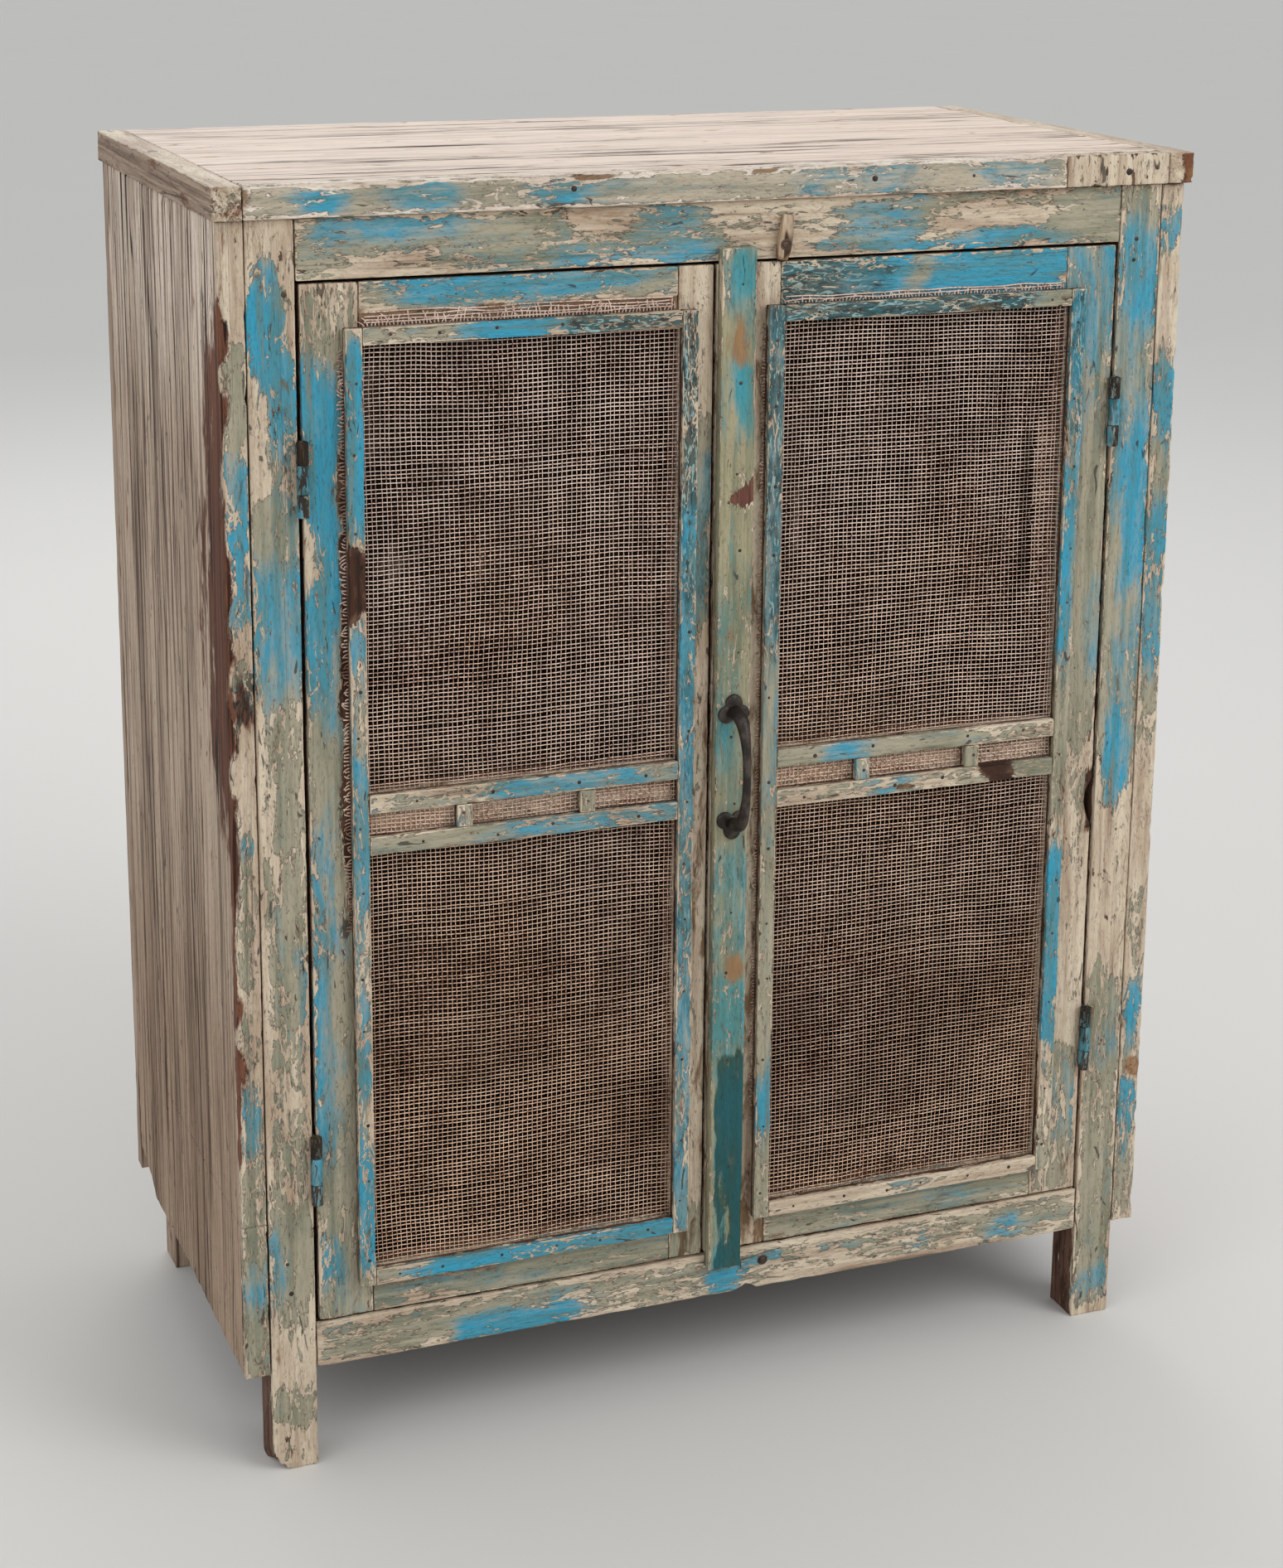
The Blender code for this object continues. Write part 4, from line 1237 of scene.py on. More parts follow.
@dataclass
class Carcass:
    """Posts, side boards, back boards and front rails."""

    back_boards: int = 6
    back_lap: float = 0.004
    back_seed: int = 40
    back_shift: int = 47

    def build(self) -> None:
        """Builds every piece of the carcass."""
        self.posts()
        self.sides()
        self.rails()
        self.back()

    def posts(self) -> None:
        """Front posts with their coats, and bare rear posts."""
        left = PaintPlan(
            (0.12, 0.5, 0.92, 0.05),
            laid(BLUE, (1.117, 1.152, 0.65, 0.2, 0.75), (0.985, 1.117, 1.0))
            + laid(BLUE, (1.07, 1.15, 0.1, 0.75, 1.5), (0.92, 1.05, 0.1, -0.5, 0.4))
            + laid(BLUE, (0.92, 0.99, 0.65, 0.5, 1.5), (0.75, 0.885, 0.7))
            + laid(BLUE, (0.88, 0.925, 0.45, 0.3, 1.5), (0.405, 0.525, 0.65, 0.7, 1.5))
            + laid(BLUE, (0.16, 0.25, 0.65, -0.5, 0.35))
            + laid(SAGE, (1.15, 1.178, 0.1), (1.07, 1.15, 0.15, 0.75, 1.5))
            + laid(SAGE, (0.92, 1.05, 0.2, -0.5, 0.4), (0.745, 0.93, 0.95), (0.635, 0.745, 0.4))
            + laid(SAGE, (0.45, 0.745, 0.75, 0.45, 1.5), (0.16, 0.27, 0.85), (0.08, 0.157, 0.2))
            + laid(SAGE, (0.04, 0.08, 0.95), (-0.01, 0.04, 0.2))
            + laid(CREAM, (-0.01, 0.035, 0.72)),
        )
        right = PaintPlan(
            (0.14, 0.72, 0.92, 0.05),
            laid(BLUE, (1.03, 1.14, 0.72), (0.98, 1.04, 0.45), (0.88, 0.98, 0.6))
            + laid(BLUE, (0.77, 0.93, 1.0, 0.35, 1.5), (0.67, 0.77, 0.6, 0.2, 1.5))
            + laid(BLUE, (0.56, 0.67, 0.85, 0.2, 0.85), (0.38, 0.53, 0.02))
            + laid(BLUE, (0.29, 0.35, 0.35, 0.3, 1.5), (0.025, 0.055, 0.55))
            + laid(SAGE, (0.6, 1.15, 0.9), (0.38, 0.57, 0.15), (0.02, 0.1, 0.75), (-0.01, 0.02, 0.2)),
        )
        heel = Bite((-0.446, -0.221, 0.0), (0.014, 0.030, 0.016), (0.006, 0.0, 0.007))
        joinery("left_front_post", UPRIGHT, WORN_WOOD, left, replace(POST_CUT, bites=(heel,)))
        joinery("right_front_post", UPRIGHT, WORN_WOOD, right, POST_CUT)
        for node in ("left_rear_post", "right_rear_post"):
            joinery(node, UPRIGHT, BACK_WOOD, BARE_PLAN, BOLD)

    def sides(self) -> None:
        """Side boards, painted on their front edges only."""
        bare = (0.0, 0.0, 0.0, 0.05)
        # Painted shade on the bare sides, darker towards the bottom, by height.
        shade_by_height = ((0.15, 1.15), (0.40, 0.95), (0.55, 0.72), (0.95, 0.66), (1.10, 0.0))
        left = PaintPlan(
            (0.05, 0.45, 0.9, 0.1),
            laid(BLUE, (0.82, 0.985, 0.75), (0.725, 0.775, 0.4), (0.6, 0.63, 0.55), (0.31, 0.4, 0.8))
            + laid(BLUE, (0.17, 0.23, 0.45))
            + laid(SAGE, (1.08, 1.178, 0.15), (0.985, 1.075, 0.85), (0.725, 0.775, 0.8))
            + laid(SAGE, (0.64, 0.73, 0.1), (0.49, 0.6, 0.55), (0.1, 0.31, 0.85))
            + laid(GRIME, (0.73, 0.77, 0.6), (0.3, 1.12, 1.2, -0.5, 0.1, 0.16))
            + laid(TARNISH, (0.725, 0.775, 0.9))
            + bared(0.3, 1.12, -0.5, 0.1, 0.16),
            depth=0.006,
            flank=(0.59, 1.14, 0.11, 1.3),
        )
        right = PaintPlan(
            (0.15, 0.5, 0.9, 0.05),
            laid(BLUE, (1.1, 1.16, 0.75), (1.02, 1.1, 0.03), (0.92, 1.02, 0.9), (0.79, 0.87, 0.9))
            + laid(BLUE, (0.69, 0.79, 0.6), (0.46, 0.65, 0.03), (0.3, 0.38, 0.8), (0.19, 0.264, 0.75))
            + laid(SAGE, (1.02, 1.1, 0.08), (0.65, 0.92, 0.75), (0.46, 0.62, 0.12), (0.1, 0.19, 0.75))
            + laid(CREAM, (0.264, 0.286, 0.2, 0.4, 1.5))
            + laid(STAIN, (0.264, 0.286, 1.4, 0.4, 1.5)),
            depth=0.006,
        )
        rear = PaintPlan(bare, depth=0.0)
        corner = Bite((-0.458, 0.272, 0.095), (0.06, 0.10, 0.05), (0.0, -0.004, 0.030))
        boards = {
            "left_side_front_board": (left, replace(SIDE_CUT, seams=(0.253,))),
            "right_side_front_board": (right, SIDE_CUT),
            "left_side_rear_board": (rear, replace(SIDE_CUT, bites=(corner,))),
            "right_side_rear_board": (rear, SIDE_CUT),
        }
        for node, (plan, cut) in boards.items():
            joinery(node, UPRIGHT, SIDE_WOOD, replace(plan, behind=bare, shade_by_height=shade_by_height), cut)

    def rails(self) -> None:
        """The rails above and below the doors."""
        top = PaintPlan(
            (0.45, 0.75, 0.92, 0.0),
            laid(BLUE, (-0.41, -0.385, 0.1), (-0.385, -0.25, 0.7, 0.5, 1.5))
            + laid(BLUE, (-0.385, -0.25, 0.15, -0.5, 0.45), (-0.25, -0.16, 0.35))
            + laid(BLUE, (-0.16, -0.015, 0.66), (-0.148, -0.1, 0.0, 0.45, 1.5), (-0.015, 0.11, 0.1))
            + laid(BLUE, (0.08, 0.2, 0.62, -0.5, 0.45), (0.2, 0.335, 0.1, 0.3, 1.5))
            + laid(BLUE, (0.18, 0.335, 0.85, -0.5, 0.32), (0.335, 0.41, 0.08))
            + laid(SAGE, (-0.385, -0.25, 0.4, -0.5, 0.35), (-0.148, -0.1, 0.1, 0.45, 1.5))
            + laid(SAGE, (-0.015, 0.11, 0.3), (0.2, 0.33, 0.2, 0.3, 0.75), (0.335, 0.41, 0.95)),
        )
        bottom = PaintPlan(
            (0.18, 0.55, 0.95, 0.0),
            laid(BLUE, (-0.27, -0.135, 0.95, -0.5, 0.55), (-0.005, 0.035, 0.9, -0.5, 0.65))
            + laid(BLUE, (0.2, 0.24, 0.5, -0.5, 0.6), (0.3, 0.345, 0.55, -0.5, 0.7))
            + laid(SAGE, (-0.33, -0.1, 0.7), (-0.15, -0.01, 0.55), (0.035, 0.4, 0.42))
            + laid(SAGE, (0.29, 0.4, 0.6)),
        )
        joinery("front_top_rail", LEVEL, BLUE_WOOD, top, BOLD)
        notch = Bite((0.034, -0.2197, 0.099), (0.009, 0.030, 0.010), (0.0, 0.0, 0.006))
        notched = Cut(arris=0.0024, along=0.006, across=0.0055, bites=(notch,))
        joinery("front_bottom_rail", LEVEL, WORN_WOOD, bottom, notched)

    def back(self) -> None:
        """Upright back boards side by side, one piece for the back panel."""
        low, high = corners("back_panel")
        width = (high[0] - low[0]) / self.back_boards
        parts, edges = [], []
        for number in range(self.back_boards):
            left, right = low.copy(), high.copy()
            left[0] = low[0] + number * width
            right[0] = min(low[0] + (number + 1) * width + self.back_lap, high[0])
            shell, edge = WornBoard(left, right, UPRIGHT, self.back_seed + number, WIDE).shell()
            parts.append(shell)
            edges.append(edge)
        whole = Shell.joined(parts)
        fit(
            whole,
            "worn_back_boards",
            BACK_WOOD,
            "carcass",
            self.back_shift,
            "back_panel",
            grain=UPRIGHT,
            coats=np.tile(all_coats((0.0, 0.0, 0.0, 0.2)), (len(whole.points), 1)),
            edge=np.concatenate(edges),
        )


@dataclass
class Top:
    """Sanded top boards inside their edging."""

    repair_start: float = 0.338
    repair_gap: float = 0.0008
    open_joint: Place = (0.0, 0.0007, 0.0)

    def build(self) -> None:
        """Builds the top boards, the side edging and the patched front edging."""
        sanded = (0.0, 0.0, 0.0, 0.1)
        for node in ("top_front_board", "top_rear_board"):
            cut = replace(WIDE, slack=self.open_joint)
            joinery(node, LEVEL, TOP_WOOD, PaintPlan(sanded, behind=sanded), cut)
        pale = (0.0, 0.05, 0.66, 0.1)
        broken = (
            laid(CREAM, (-0.3, 0.3, 0.0, 0.62, 1.5))
            + laid(GRIME, (-0.3, 0.3, 1.3, 0.6, 1.5))
            + laid(STAIN, (-0.3, 0.3, 0.6, 0.6, 1.5))
        )
        ends = {
            "left": PaintPlan((0.0, 0.4, 0.75, 0.3)),
            "right": PaintPlan((0.0, 0.06, 0.85, 0.05), broken),
        }
        end_cut = Cut(arris=0.0026, along=0.006, across=0.0045, relief=0.0006, nicks=1.2)
        for label, end in ends.items():
            side = replace(end, behind=(0.0, 0.0, 0.0, 0.2), depth=0.004, crown=(0.0, 0.0, 0.93, 0.1))
            joinery(f"top_edging_{label}", DEEP, END_WOOD, side, end_cut)
        plan = PaintPlan(
            (0.15, 0.85, 0.98, 0.0),
            laid(BLUE, (-0.405, -0.365, 0.9, 0.0, 0.85), (-0.322, -0.252, 0.85, 0.1, 0.9))
            + laid(BLUE, (-0.195, -0.14, 0.8, 0.1, 0.95), (0.06, 0.17, 0.5), (0.23, 0.338, 0.48))
            + laid(BLUE, (-0.5, 0.5, 0.1, 0.88, 1.5, 0.08))
            + laid(SAGE, (-0.46, -0.436, 0.5), (-0.5, 0.5, 0.15, 0.88, 1.5, 0.08))
            + laid(SAGE, (-0.5, 0.5, 0.6, -0.5, 0.06, 0.08))
            + laid(CREAM, (-0.46, -0.44, 0.7))
            + laid(GRIME, (-0.46, -0.436, 0.5), (-0.5, 0.5, 0.95, 0.97, 1.5, 0.06))
            + laid(TARNISH, (0.06, 0.338, 0.2)),
            behind=(0.0, 0.0, 0.25, 0.1),
            crown=pale,
        )
        node = "top_edging_front"
        low, high = corners(node)
        cut_end, patch_start = high.copy(), low.copy()
        cut_end[0] = self.repair_start
        patch_start[0] = self.repair_start + self.repair_gap
        nicked = Cut(arris=0.0034, along=0.004, across=0.0045, relief=0.0006, nicks=1.8)
        plank("worn_top_edging_front", node, (low, cut_end), LEVEL, EDGING_WOOD, plan, nicked)
        patched = PaintPlan((0.0, 0.2, 0.8, 0.05), behind=(0.0, 0.0, 0.2, 0.15), crown=pale)
        plank("edging_repair", node, (patch_start, high), UPRIGHT, WORN_WOOD, patched, nicked)


@dataclass
class Inside:
    """Floor, shelf and cleats, which keep their CAD shapes."""

    boards: tuple[str, ...] = ("floor_board", "shelf_board")
    cleats: tuple[str, ...] = ("left_shelf_cleat", "right_shelf_cleat")

    def build(self) -> None:
        """Gives the inner boards their finish."""
        for node in self.boards + self.cleats:
            grain = LEVEL if node in self.boards else DEEP
            mesh = frame["nodes"][node].data
            mesh.materials.clear()
            mesh.materials.append(INNER_WOOD.material(grain))
            log.info("%s keeps its CAD shape", node)


@dataclass
class WovenPanel:
    """Woven wire over a door's opening, with frayed ends beyond the beads."""

    door: str
    top_fray: float
    side_fray: float
    tear: tuple[float, float, float] | None = None
    loose_bead: str = "hinge_bead"
    loose_from: float = 0.35
    upright_pitch: float = 0.0046
    level_pitch: float = 0.0040
    half_width: float = 0.00044
    half_depth: float = 0.00030
    lift: float = 0.00034
    pull: tuple[float, float] = (0.0022, 0.0030)
    quiver: float = 0.0004
    stray: tuple[float, float] = (0.00035, 0.00028)
    loose_pitch: float = 0.0034
    row_pitch: float = 0.0033
    swell: float = 1.7

    def around(self, part: str) -> Box:
        """Corners of one of the door's CAD nodes."""
        return corners(f"{self.door}_door_{part}")

    def middle(self) -> float:
        """Y of the weave."""
        low, high = self.around("mesh")
        return float(low[1] + high[1]) / 2.0

    def crossings(self) -> tuple[Array, Array]:
        """Where the threads cross.

        Returns:
            X and Z by upright and level thread.
        """
        low, high = self.around("mesh")
        ups = round((high[0] - low[0]) / self.upright_pitch)
        levels = round((high[2] - low[2]) / self.level_pitch)
        inset = self.half_width * 1.6
        x, z = np.meshgrid(
            np.linspace(low[0] + inset, high[0] - inset, ups),
            np.linspace(low[2] + inset, high[2] - inset, levels),
            indexing="ij",
        )
        seed = seed_of(self.door)
        random = np.random.default_rng(seed)
        flat = np.stack([x.ravel() * 9.0, z.ravel() * 7.0, np.zeros(x.size)], axis=1)
        pull_x = value_noise(flat, seed).reshape(x.shape)
        pull_z = value_noise(flat + 31.0, seed).reshape(x.shape)
        small = value_noise(flat * 6.0, seed + 3).reshape(x.shape)
        hold = np.minimum(np.minimum(x - low[0], high[0] - x), np.minimum(z - low[2], high[2] - z))
        hold = np.clip(hold / 0.02, 0.0, 1.0)
        stray_x = random.normal(0.0, self.stray[0], ups)[:, None]
        stray_z = random.normal(0.0, self.stray[1], levels)[None, :]
        x = x + hold * (self.pull[0] * pull_x + self.quiver * small + stray_x)
        z = z + hold * (self.pull[1] * pull_z + self.quiver * small + stray_z)
        if self.tear is not None:
            aside = x - self.tear[0]
            x = x + 0.0016 * self.torn(z) * np.sign(aside) * np.exp(-np.abs(aside) / 0.006)
        return x, z

    def build(self) -> None:
        """Weaves the upright and the level threads and adds the frayed ends."""
        x, z = self.crossings()
        node = f"{self.door}_door_mesh"
        seed = seed_of(node)
        flat = np.stack([x.ravel() * 60.0, z.ravel() * 60.0, np.zeros(x.size)], axis=1)
        plump = 1.0 + 0.22 * value_noise(flat, seed).reshape(x.shape)
        clog_low, clog_high = self.around("lower_slat")[1][2], self.around("upper_slat")[0][2]
        plump = plump * np.where((z > clog_low - 0.002) & (z < clog_high + 0.002), 2.0, 1.0)
        if self.tear is not None:
            plump = plump * (1.0 + 1.1 * self.matted(x, z, 0.010) - 0.55 * self.matted(x, z, -0.006))
        over = self.lift * np.where(np.add.outer(*map(np.arange, x.shape)) % 2, 1.0, -1.0)
        upright = np.stack([x, self.middle() + over, z], axis=-1)
        level = np.stack([x, self.middle() - over, z], axis=-1).transpose(1, 0, 2)
        weaves = {
            "upright": [strands(upright, X_WAY, self.half_width * 0.72 * plump, self.half_depth)],
            "level": [strands(level, Z_WAY, self.half_width * 1.05 * plump.T, self.half_depth)],
        }
        weaves["upright"] += self.frayed_top()
        weaves["level"].append(self.frayed_side())
        for name, parts in weaves.items():
            shell = Shell.joined(parts)
            coats = np.zeros((len(shell.points), len(Coat)))
            # Painted shade: upright threads darker than the level ones, which catch more light.
            shaded = 0.15 if name == "upright" else 0.0
            coats[:, GRIME.value] = np.clip(self.soil(shell.points) + shaded, 0.0, 1.0)
            coats[:, STAIN.value] = self.yellowed(shell.points)
            fit(shell, f"{self.door}_{name}_threads", WIRE, body_of(node), seed, node, coats=coats)

    def torn(self, z: Array) -> Array:
        """How far heights lie along the pulled thread."""
        _, start, end = self.tear
        return np.clip(np.minimum(z - start, end - z) / 0.03, 0.0, 1.0)

    def matted(self, x: Array, z: Array, aside: float) -> Array:
        """How far places lie in an upright band at some distance aside of the pulled thread."""
        return self.torn(z) * np.clip(1.4 - np.abs(x - self.tear[0] - aside) / 0.0065, 0.0, 1.0)

    def blotches(self, points: Array, across: float, up: float, number: int) -> Array:
        """Noise over the panel, in cells for each metre across and up."""
        return value_noise(points * np.array([across, 0.0, up]), seed_of(self.door) + number)

    def rise(self, points: Array) -> Array:
        """Heights as shares of the panel's height."""
        low, high = self.around("mesh")
        return (points[:, 2] - low[2]) / (high[2] - low[2])

    def soil(self, points: Array) -> Array:
        """How dirty the threads are, browner in broad patches.

        Args:
            points: places on the threads.
        Returns:
            0 to 1 for each place.
        """
        broad = self.blotches(points, 7.0, 5.0, 11)
        fine = self.blotches(points, 45.0, 40.0, 12)
        dark = np.clip(self.blotches(points, 13.0, 10.0, 13), 0.0, 1.0)
        below = np.clip((0.5 - self.rise(points)) * 2.0, 0.0, 1.0)
        soil = 0.04 + 0.09 * broad + 0.1 * fine + below * (0.03 + 0.75 * dark)
        if self.tear is not None:
            soil = soil + 0.45 * self.matted(points[:, 0], points[:, 2], 0.010)
        above = points[:, 2] > self.around("top_bead")[1][2]
        beyond = points[:, 0] < self.around(self.loose_bead)[0][0]
        soil = np.where(beyond, 0.4 + 0.7 * fine, soil)
        return np.clip(np.where(above, 0.05 + 0.4 * fine, soil), 0.0, 1.0)

    def yellowed(self, points: Array) -> Array:
        """How far the threads have yellowed, most at the foot of the panel."""
        return np.clip(0.95 - self.rise(points) + 0.3 * self.blotches(points, 9.0, 6.0, 14), 0.0, 1.0)

    def loose(self, x: Array, z: Array, across: Array, swell: float) -> Shell:
        """Loose threads in the plane of the weave, swollen beyond their usual width."""
        centres = np.stack([x, np.full_like(x, self.middle()), z], axis=-1)
        return strands(centres, across, self.half_width * swell, self.half_depth)

    def frayed_top(self) -> list[Shell]:
        """Upright ends above the top bead, and level threads that cross them.

        Returns:
            The loose ends and the loose threads.
        """
        low, high = self.around("top_bead")
        random = np.random.default_rng(seed_of(self.door) + 5)
        count = int((high[0] - low[0]) / self.loose_pitch)
        start = np.linspace(low[0] + 0.004, high[0] - 0.004, count)[:, None]
        length = self.top_fray * random.uniform(0.25, 1.0, count)[:, None]
        lean = random.normal(0.0, 0.003, count)[:, None]
        share = np.linspace(0.0, 1.0, 5)
        ends = self.loose(start + lean * share**2, high[2] - 0.001 + length * share, X_WAY, self.swell)
        rows = np.arange(int(self.top_fray / self.row_pitch))[:, None]
        x = np.tile(np.linspace(low[0] + 0.004, high[0] - 0.006, 90), (len(rows), 1))
        places = np.stack([x * 40.0, np.broadcast_to(rows * 3.0, x.shape), x * 0.0], axis=-1)
        wave = value_noise(places.reshape(-1, 3), 5).reshape(x.shape)
        z = high[2] + 0.0022 + rows * 0.0031 + 0.0009 * wave
        return [ends, self.loose(x, z, Z_WAY, self.swell)]

    def frayed_side(self) -> Shell:
        """Level ends outside one bead.

        Returns:
            The loose ends.
        """
        low, high = self.around(self.loose_bead)
        random = np.random.default_rng(seed_of(self.door) + 6)
        count = int((high[2] - low[2] - self.loose_from) / self.row_pitch)
        start = np.linspace(low[2] + self.loose_from, high[2] - 0.02, count)
        length = self.side_fray * random.uniform(0.45, 1.0, count)
        share = np.linspace(0.0, 1.0, 4)[::-1]
        x = low[0] + 0.001 - length[:, None] * share
        z = start[:, None] + random.normal(0.0, 0.0022, count)[:, None] * share**2
        return self.loose(x, z, Z_WAY, 1.8)


NAIL_HEAD = ((0.5, -0.0030), (1.0, -0.0008), (1.0, 0.0001), (0.8, 0.0004), (0.3, 0.0005))
SCREW_RING = ((1.35, -0.0006), (1.35, 0.0002), (1.15, 0.0005), (0.9, 0.0))
SCREW_DOME = ((0.85, -0.001), (0.85, 0.0006), (0.6, 0.0012), (0.2, 0.0014))


def turned_head(profile: tuple[tuple[float, float], ...], radius: float, base: float, turns: int) -> Shell:
    """Turns a nail or a screw that faces the front.

    Args:
        profile: shares of the radius, and heights over the base.
        radius: size of the head.
        base: height that the profile starts from.
        turns: points round the axis.
    Returns:
        The closed head.
    """
    return lathe([(radius * share, base + rise) for share, rise in profile], turns).placed(TO_FRONT)


@dataclass
class Nails:
    """Nail heads driven into the faces of one body's pieces."""

    body: str
    radius: float = 0.0017
    sink: float = 0.0004
    spots: list[tuple[float, float, float, float]] = field(default_factory=list)

    def along(self, node: str, count: int, level: bool, size: float = 1.0) -> None:
        """Adds a row of nails along a slim piece.

        Args:
            node: the CAD node that takes them.
            count: number of nails.
            level: True when the piece lies along X.
            size: size against the usual head.
        """
        low, high = corners(node)
        random = np.random.default_rng(seed_of(node) + 2)
        for number in range(count):
            share = (number + 0.5 + random.uniform(-0.22, 0.22)) / count
            wide = 0.5 + random.uniform(-0.14, 0.14)
            x, z = (share, wide) if level else (wide, share)
            place = (low[0] + (high[0] - low[0]) * x, low[1], low[2] + (high[2] - low[2]) * z)
            self.spots.append((*place, size * random.uniform(0.75, 1.2)))

    def build(self) -> None:
        """Makes the heads one piece."""
        parts = []
        for x, y, z, size in self.spots:
            head = turned_head(NAIL_HEAD, self.radius * size, 0.0, 10)
            parts.append(head.placed(Matrix.Translation((x, y + self.sink, z))))
        fit(Shell.joined(parts), f"{self.body}_nails", NAIL_IRON, self.body, seed_of(self.body))


@dataclass
class Door:
    """A framed door with its woven panel, beads and slats."""

    side: str
    plans: dict[str, PaintPlan]
    mesh: WovenPanel
    bites: dict[str, tuple[Bite, ...]] = field(default_factory=dict)
    mostly_blue: float = 0.4
    level_nails: int = 6
    upright_nails: int = 13
    slat_nails: int = 4
    strip_nails: int = 12

    def build(self) -> None:
        """Builds the frame, the beads, the slats and the panel."""
        nails = Nails(f"{self.side}_door")
        for part, plan in self.plans.items():
            node = f"{self.side}_door_{part}"
            level = part.startswith(("top", "mid", "bottom", "upper", "lower"))
            cut = FINE if part.endswith(("bead", "slat", "block")) else BOLD
            if part in self.bites:
                cut = replace(cut, along=0.004, across=0.004, bites=self.bites[part])
            finish = BLUE_WOOD if plan.face[0] > self.mostly_blue else WORN_WOOD
            joinery(node, LEVEL if level else UPRIGHT, finish, plan, cut)
            if part.endswith("bead"):
                nails.along(node, self.level_nails if level else self.upright_nails, level)
            if part.endswith("slat"):
                nails.along(node, self.slat_nails, True, 1.2)
            if part.endswith("block"):
                nails.along(node, 1, False)
        self.mesh.build()
        if self.side == "right":
            nails.along("cover_strip", self.strip_nails, False)
        nails.build()


def left_door() -> Door:
    """The left door with its coats.

    Returns:
        The door, ready to build.
    """
    plans = {
        "hinge_stile": PaintPlan(
            (0.15, 0.8, 0.92, 0.05),
            laid(BLUE, (1.06, 1.125, 0.05), (0.73, 1.05, 1.0, -0.5, 0.8))
            + laid(BLUE, (0.852, 0.902, 0.05, -0.5, 0.17, 0.12), (0.73, 0.82, 0.4, 0.5, 1.5))
            + laid(BLUE, (0.31, 0.63, 0.65, -0.5, 0.4), (0.18, 0.232, 0.75, -0.5, 0.5))
            + laid(SAGE, (1.08, 1.125, 0.55), (0.852, 0.902, 0.1, -0.5, 0.17, 0.12))
            + laid(SAGE, (0.63, 0.73, 0.98))
            + laid(GRIME, (0.55, 1.05, 0.75, 0.61, 1.5, 0.06))
            + bared(0.55, 1.05, 0.61, 1.5, 0.06),
        ),
        "meeting_stile": PaintPlan(
            (0.05, 0.26, 1.0, 0.36),
            laid(BLUE, (0.79, 0.95, 0.5))
            + laid(SAGE, (0.14, 0.205, 0.95), (0.985, 1.125, 0.25), (0.78, 0.985, 0.95))
            + laid(GRIME, (0.78, 1.125, 0.05))
            + laid(TARNISH, (0.79, 0.985, 0.3)),
        ),
        "top_rail": PaintPlan(
            (0.9, 0.75, 0.92, 0.0),
            laid(BLUE, (-0.35, -0.315, 0.25), (-0.4, 0.0, 0.0, -0.5, 0.58, 0.08))
            + laid(BLUE, (-0.32, -0.085, 0.72, 0.62, 1.5), (-0.085, -0.04, 0.3))
            + laid(SAGE, (-0.4, 0.0, 0.1, -0.5, 0.56, 0.08), (-0.32, -0.085, 0.95, 0.58, 1.5))
            + laid(GRIME, (-0.4, 0.0, 1.1, -0.5, 0.5, 0.08)),
        ),
        "mid_rail": PaintPlan((0.0, 0.2, 0.9, 0.3)),
        "bottom_rail": PaintPlan(
            (0.3, 0.95, 0.92, 0.05), laid(SAGE, (-0.33, -0.25, 0.6)) + laid(TARNISH, (-0.4, 0.0, 0.2))
        ),
        "hinge_bead": PaintPlan(
            (0.7, 0.6, 0.85, 0.1),
            laid(BLUE, (1.062, 1.1, 0.15), (0.886, 1.062, 1.0), (0.69, 0.77, 0.4))
            + laid(BLUE, (0.31, 0.54, 0.35, 0.5, 1.5), (0.2, 0.31, 0.95), (0.17, 0.2, 0.1))
            + laid(SAGE, (0.31, 0.54, 0.2, 0.5, 1.5))
            + laid(GRIME, (0.822, 0.882, 0.9))
            + bared(0.822, 0.882),
        ),
        "meeting_bead": PaintPlan(
            (0.65, 0.75, 0.85, 0.1),
            laid(BLUE, (0.72, 0.89, 0.9)) + laid(TARNISH, (0.18, 0.89, 0.35), (0.89, 1.09, 0.95)),
            SOILED_AND_SHADED_BEHIND,
        ),
        "top_bead": PaintPlan(
            (0.95, 0.6, 0.85, 0.05),
            laid(BLUE, (-0.37, -0.25, 0.35), (-0.11, -0.04, 0.6))
            + laid(TARNISH, (-0.15, -0.04, 0.9)),
            SOILED_AND_SHADED_BEHIND,
        ),
        "bottom_bead": PaintPlan((0.95, 0.6, 0.92, 0.05), laid(BLUE, (-0.37, -0.31, 0.12))),
        "upper_slat": PaintPlan(
            (0.75, 0.7, 0.92, 0.0),
            laid(BLUE, (-0.35, -0.24, 0.3), (-0.085, -0.04, 0.25)) + laid(SAGE, (-0.35, -0.24, 0.5)),
        ),
        "lower_slat": PaintPlan((0.68, 0.75, 0.92, 0.0), laid(BLUE, (-0.35, -0.225, 0.12))),
        "hinge_block": PaintPlan((0.5, 0.7, 0.92, 0.0)),
        "meeting_block": PaintPlan((0.1, 0.7, 0.92, 0.0)),
    }
    return Door("left", plans, WovenPanel("left", 0.014, 0.007))


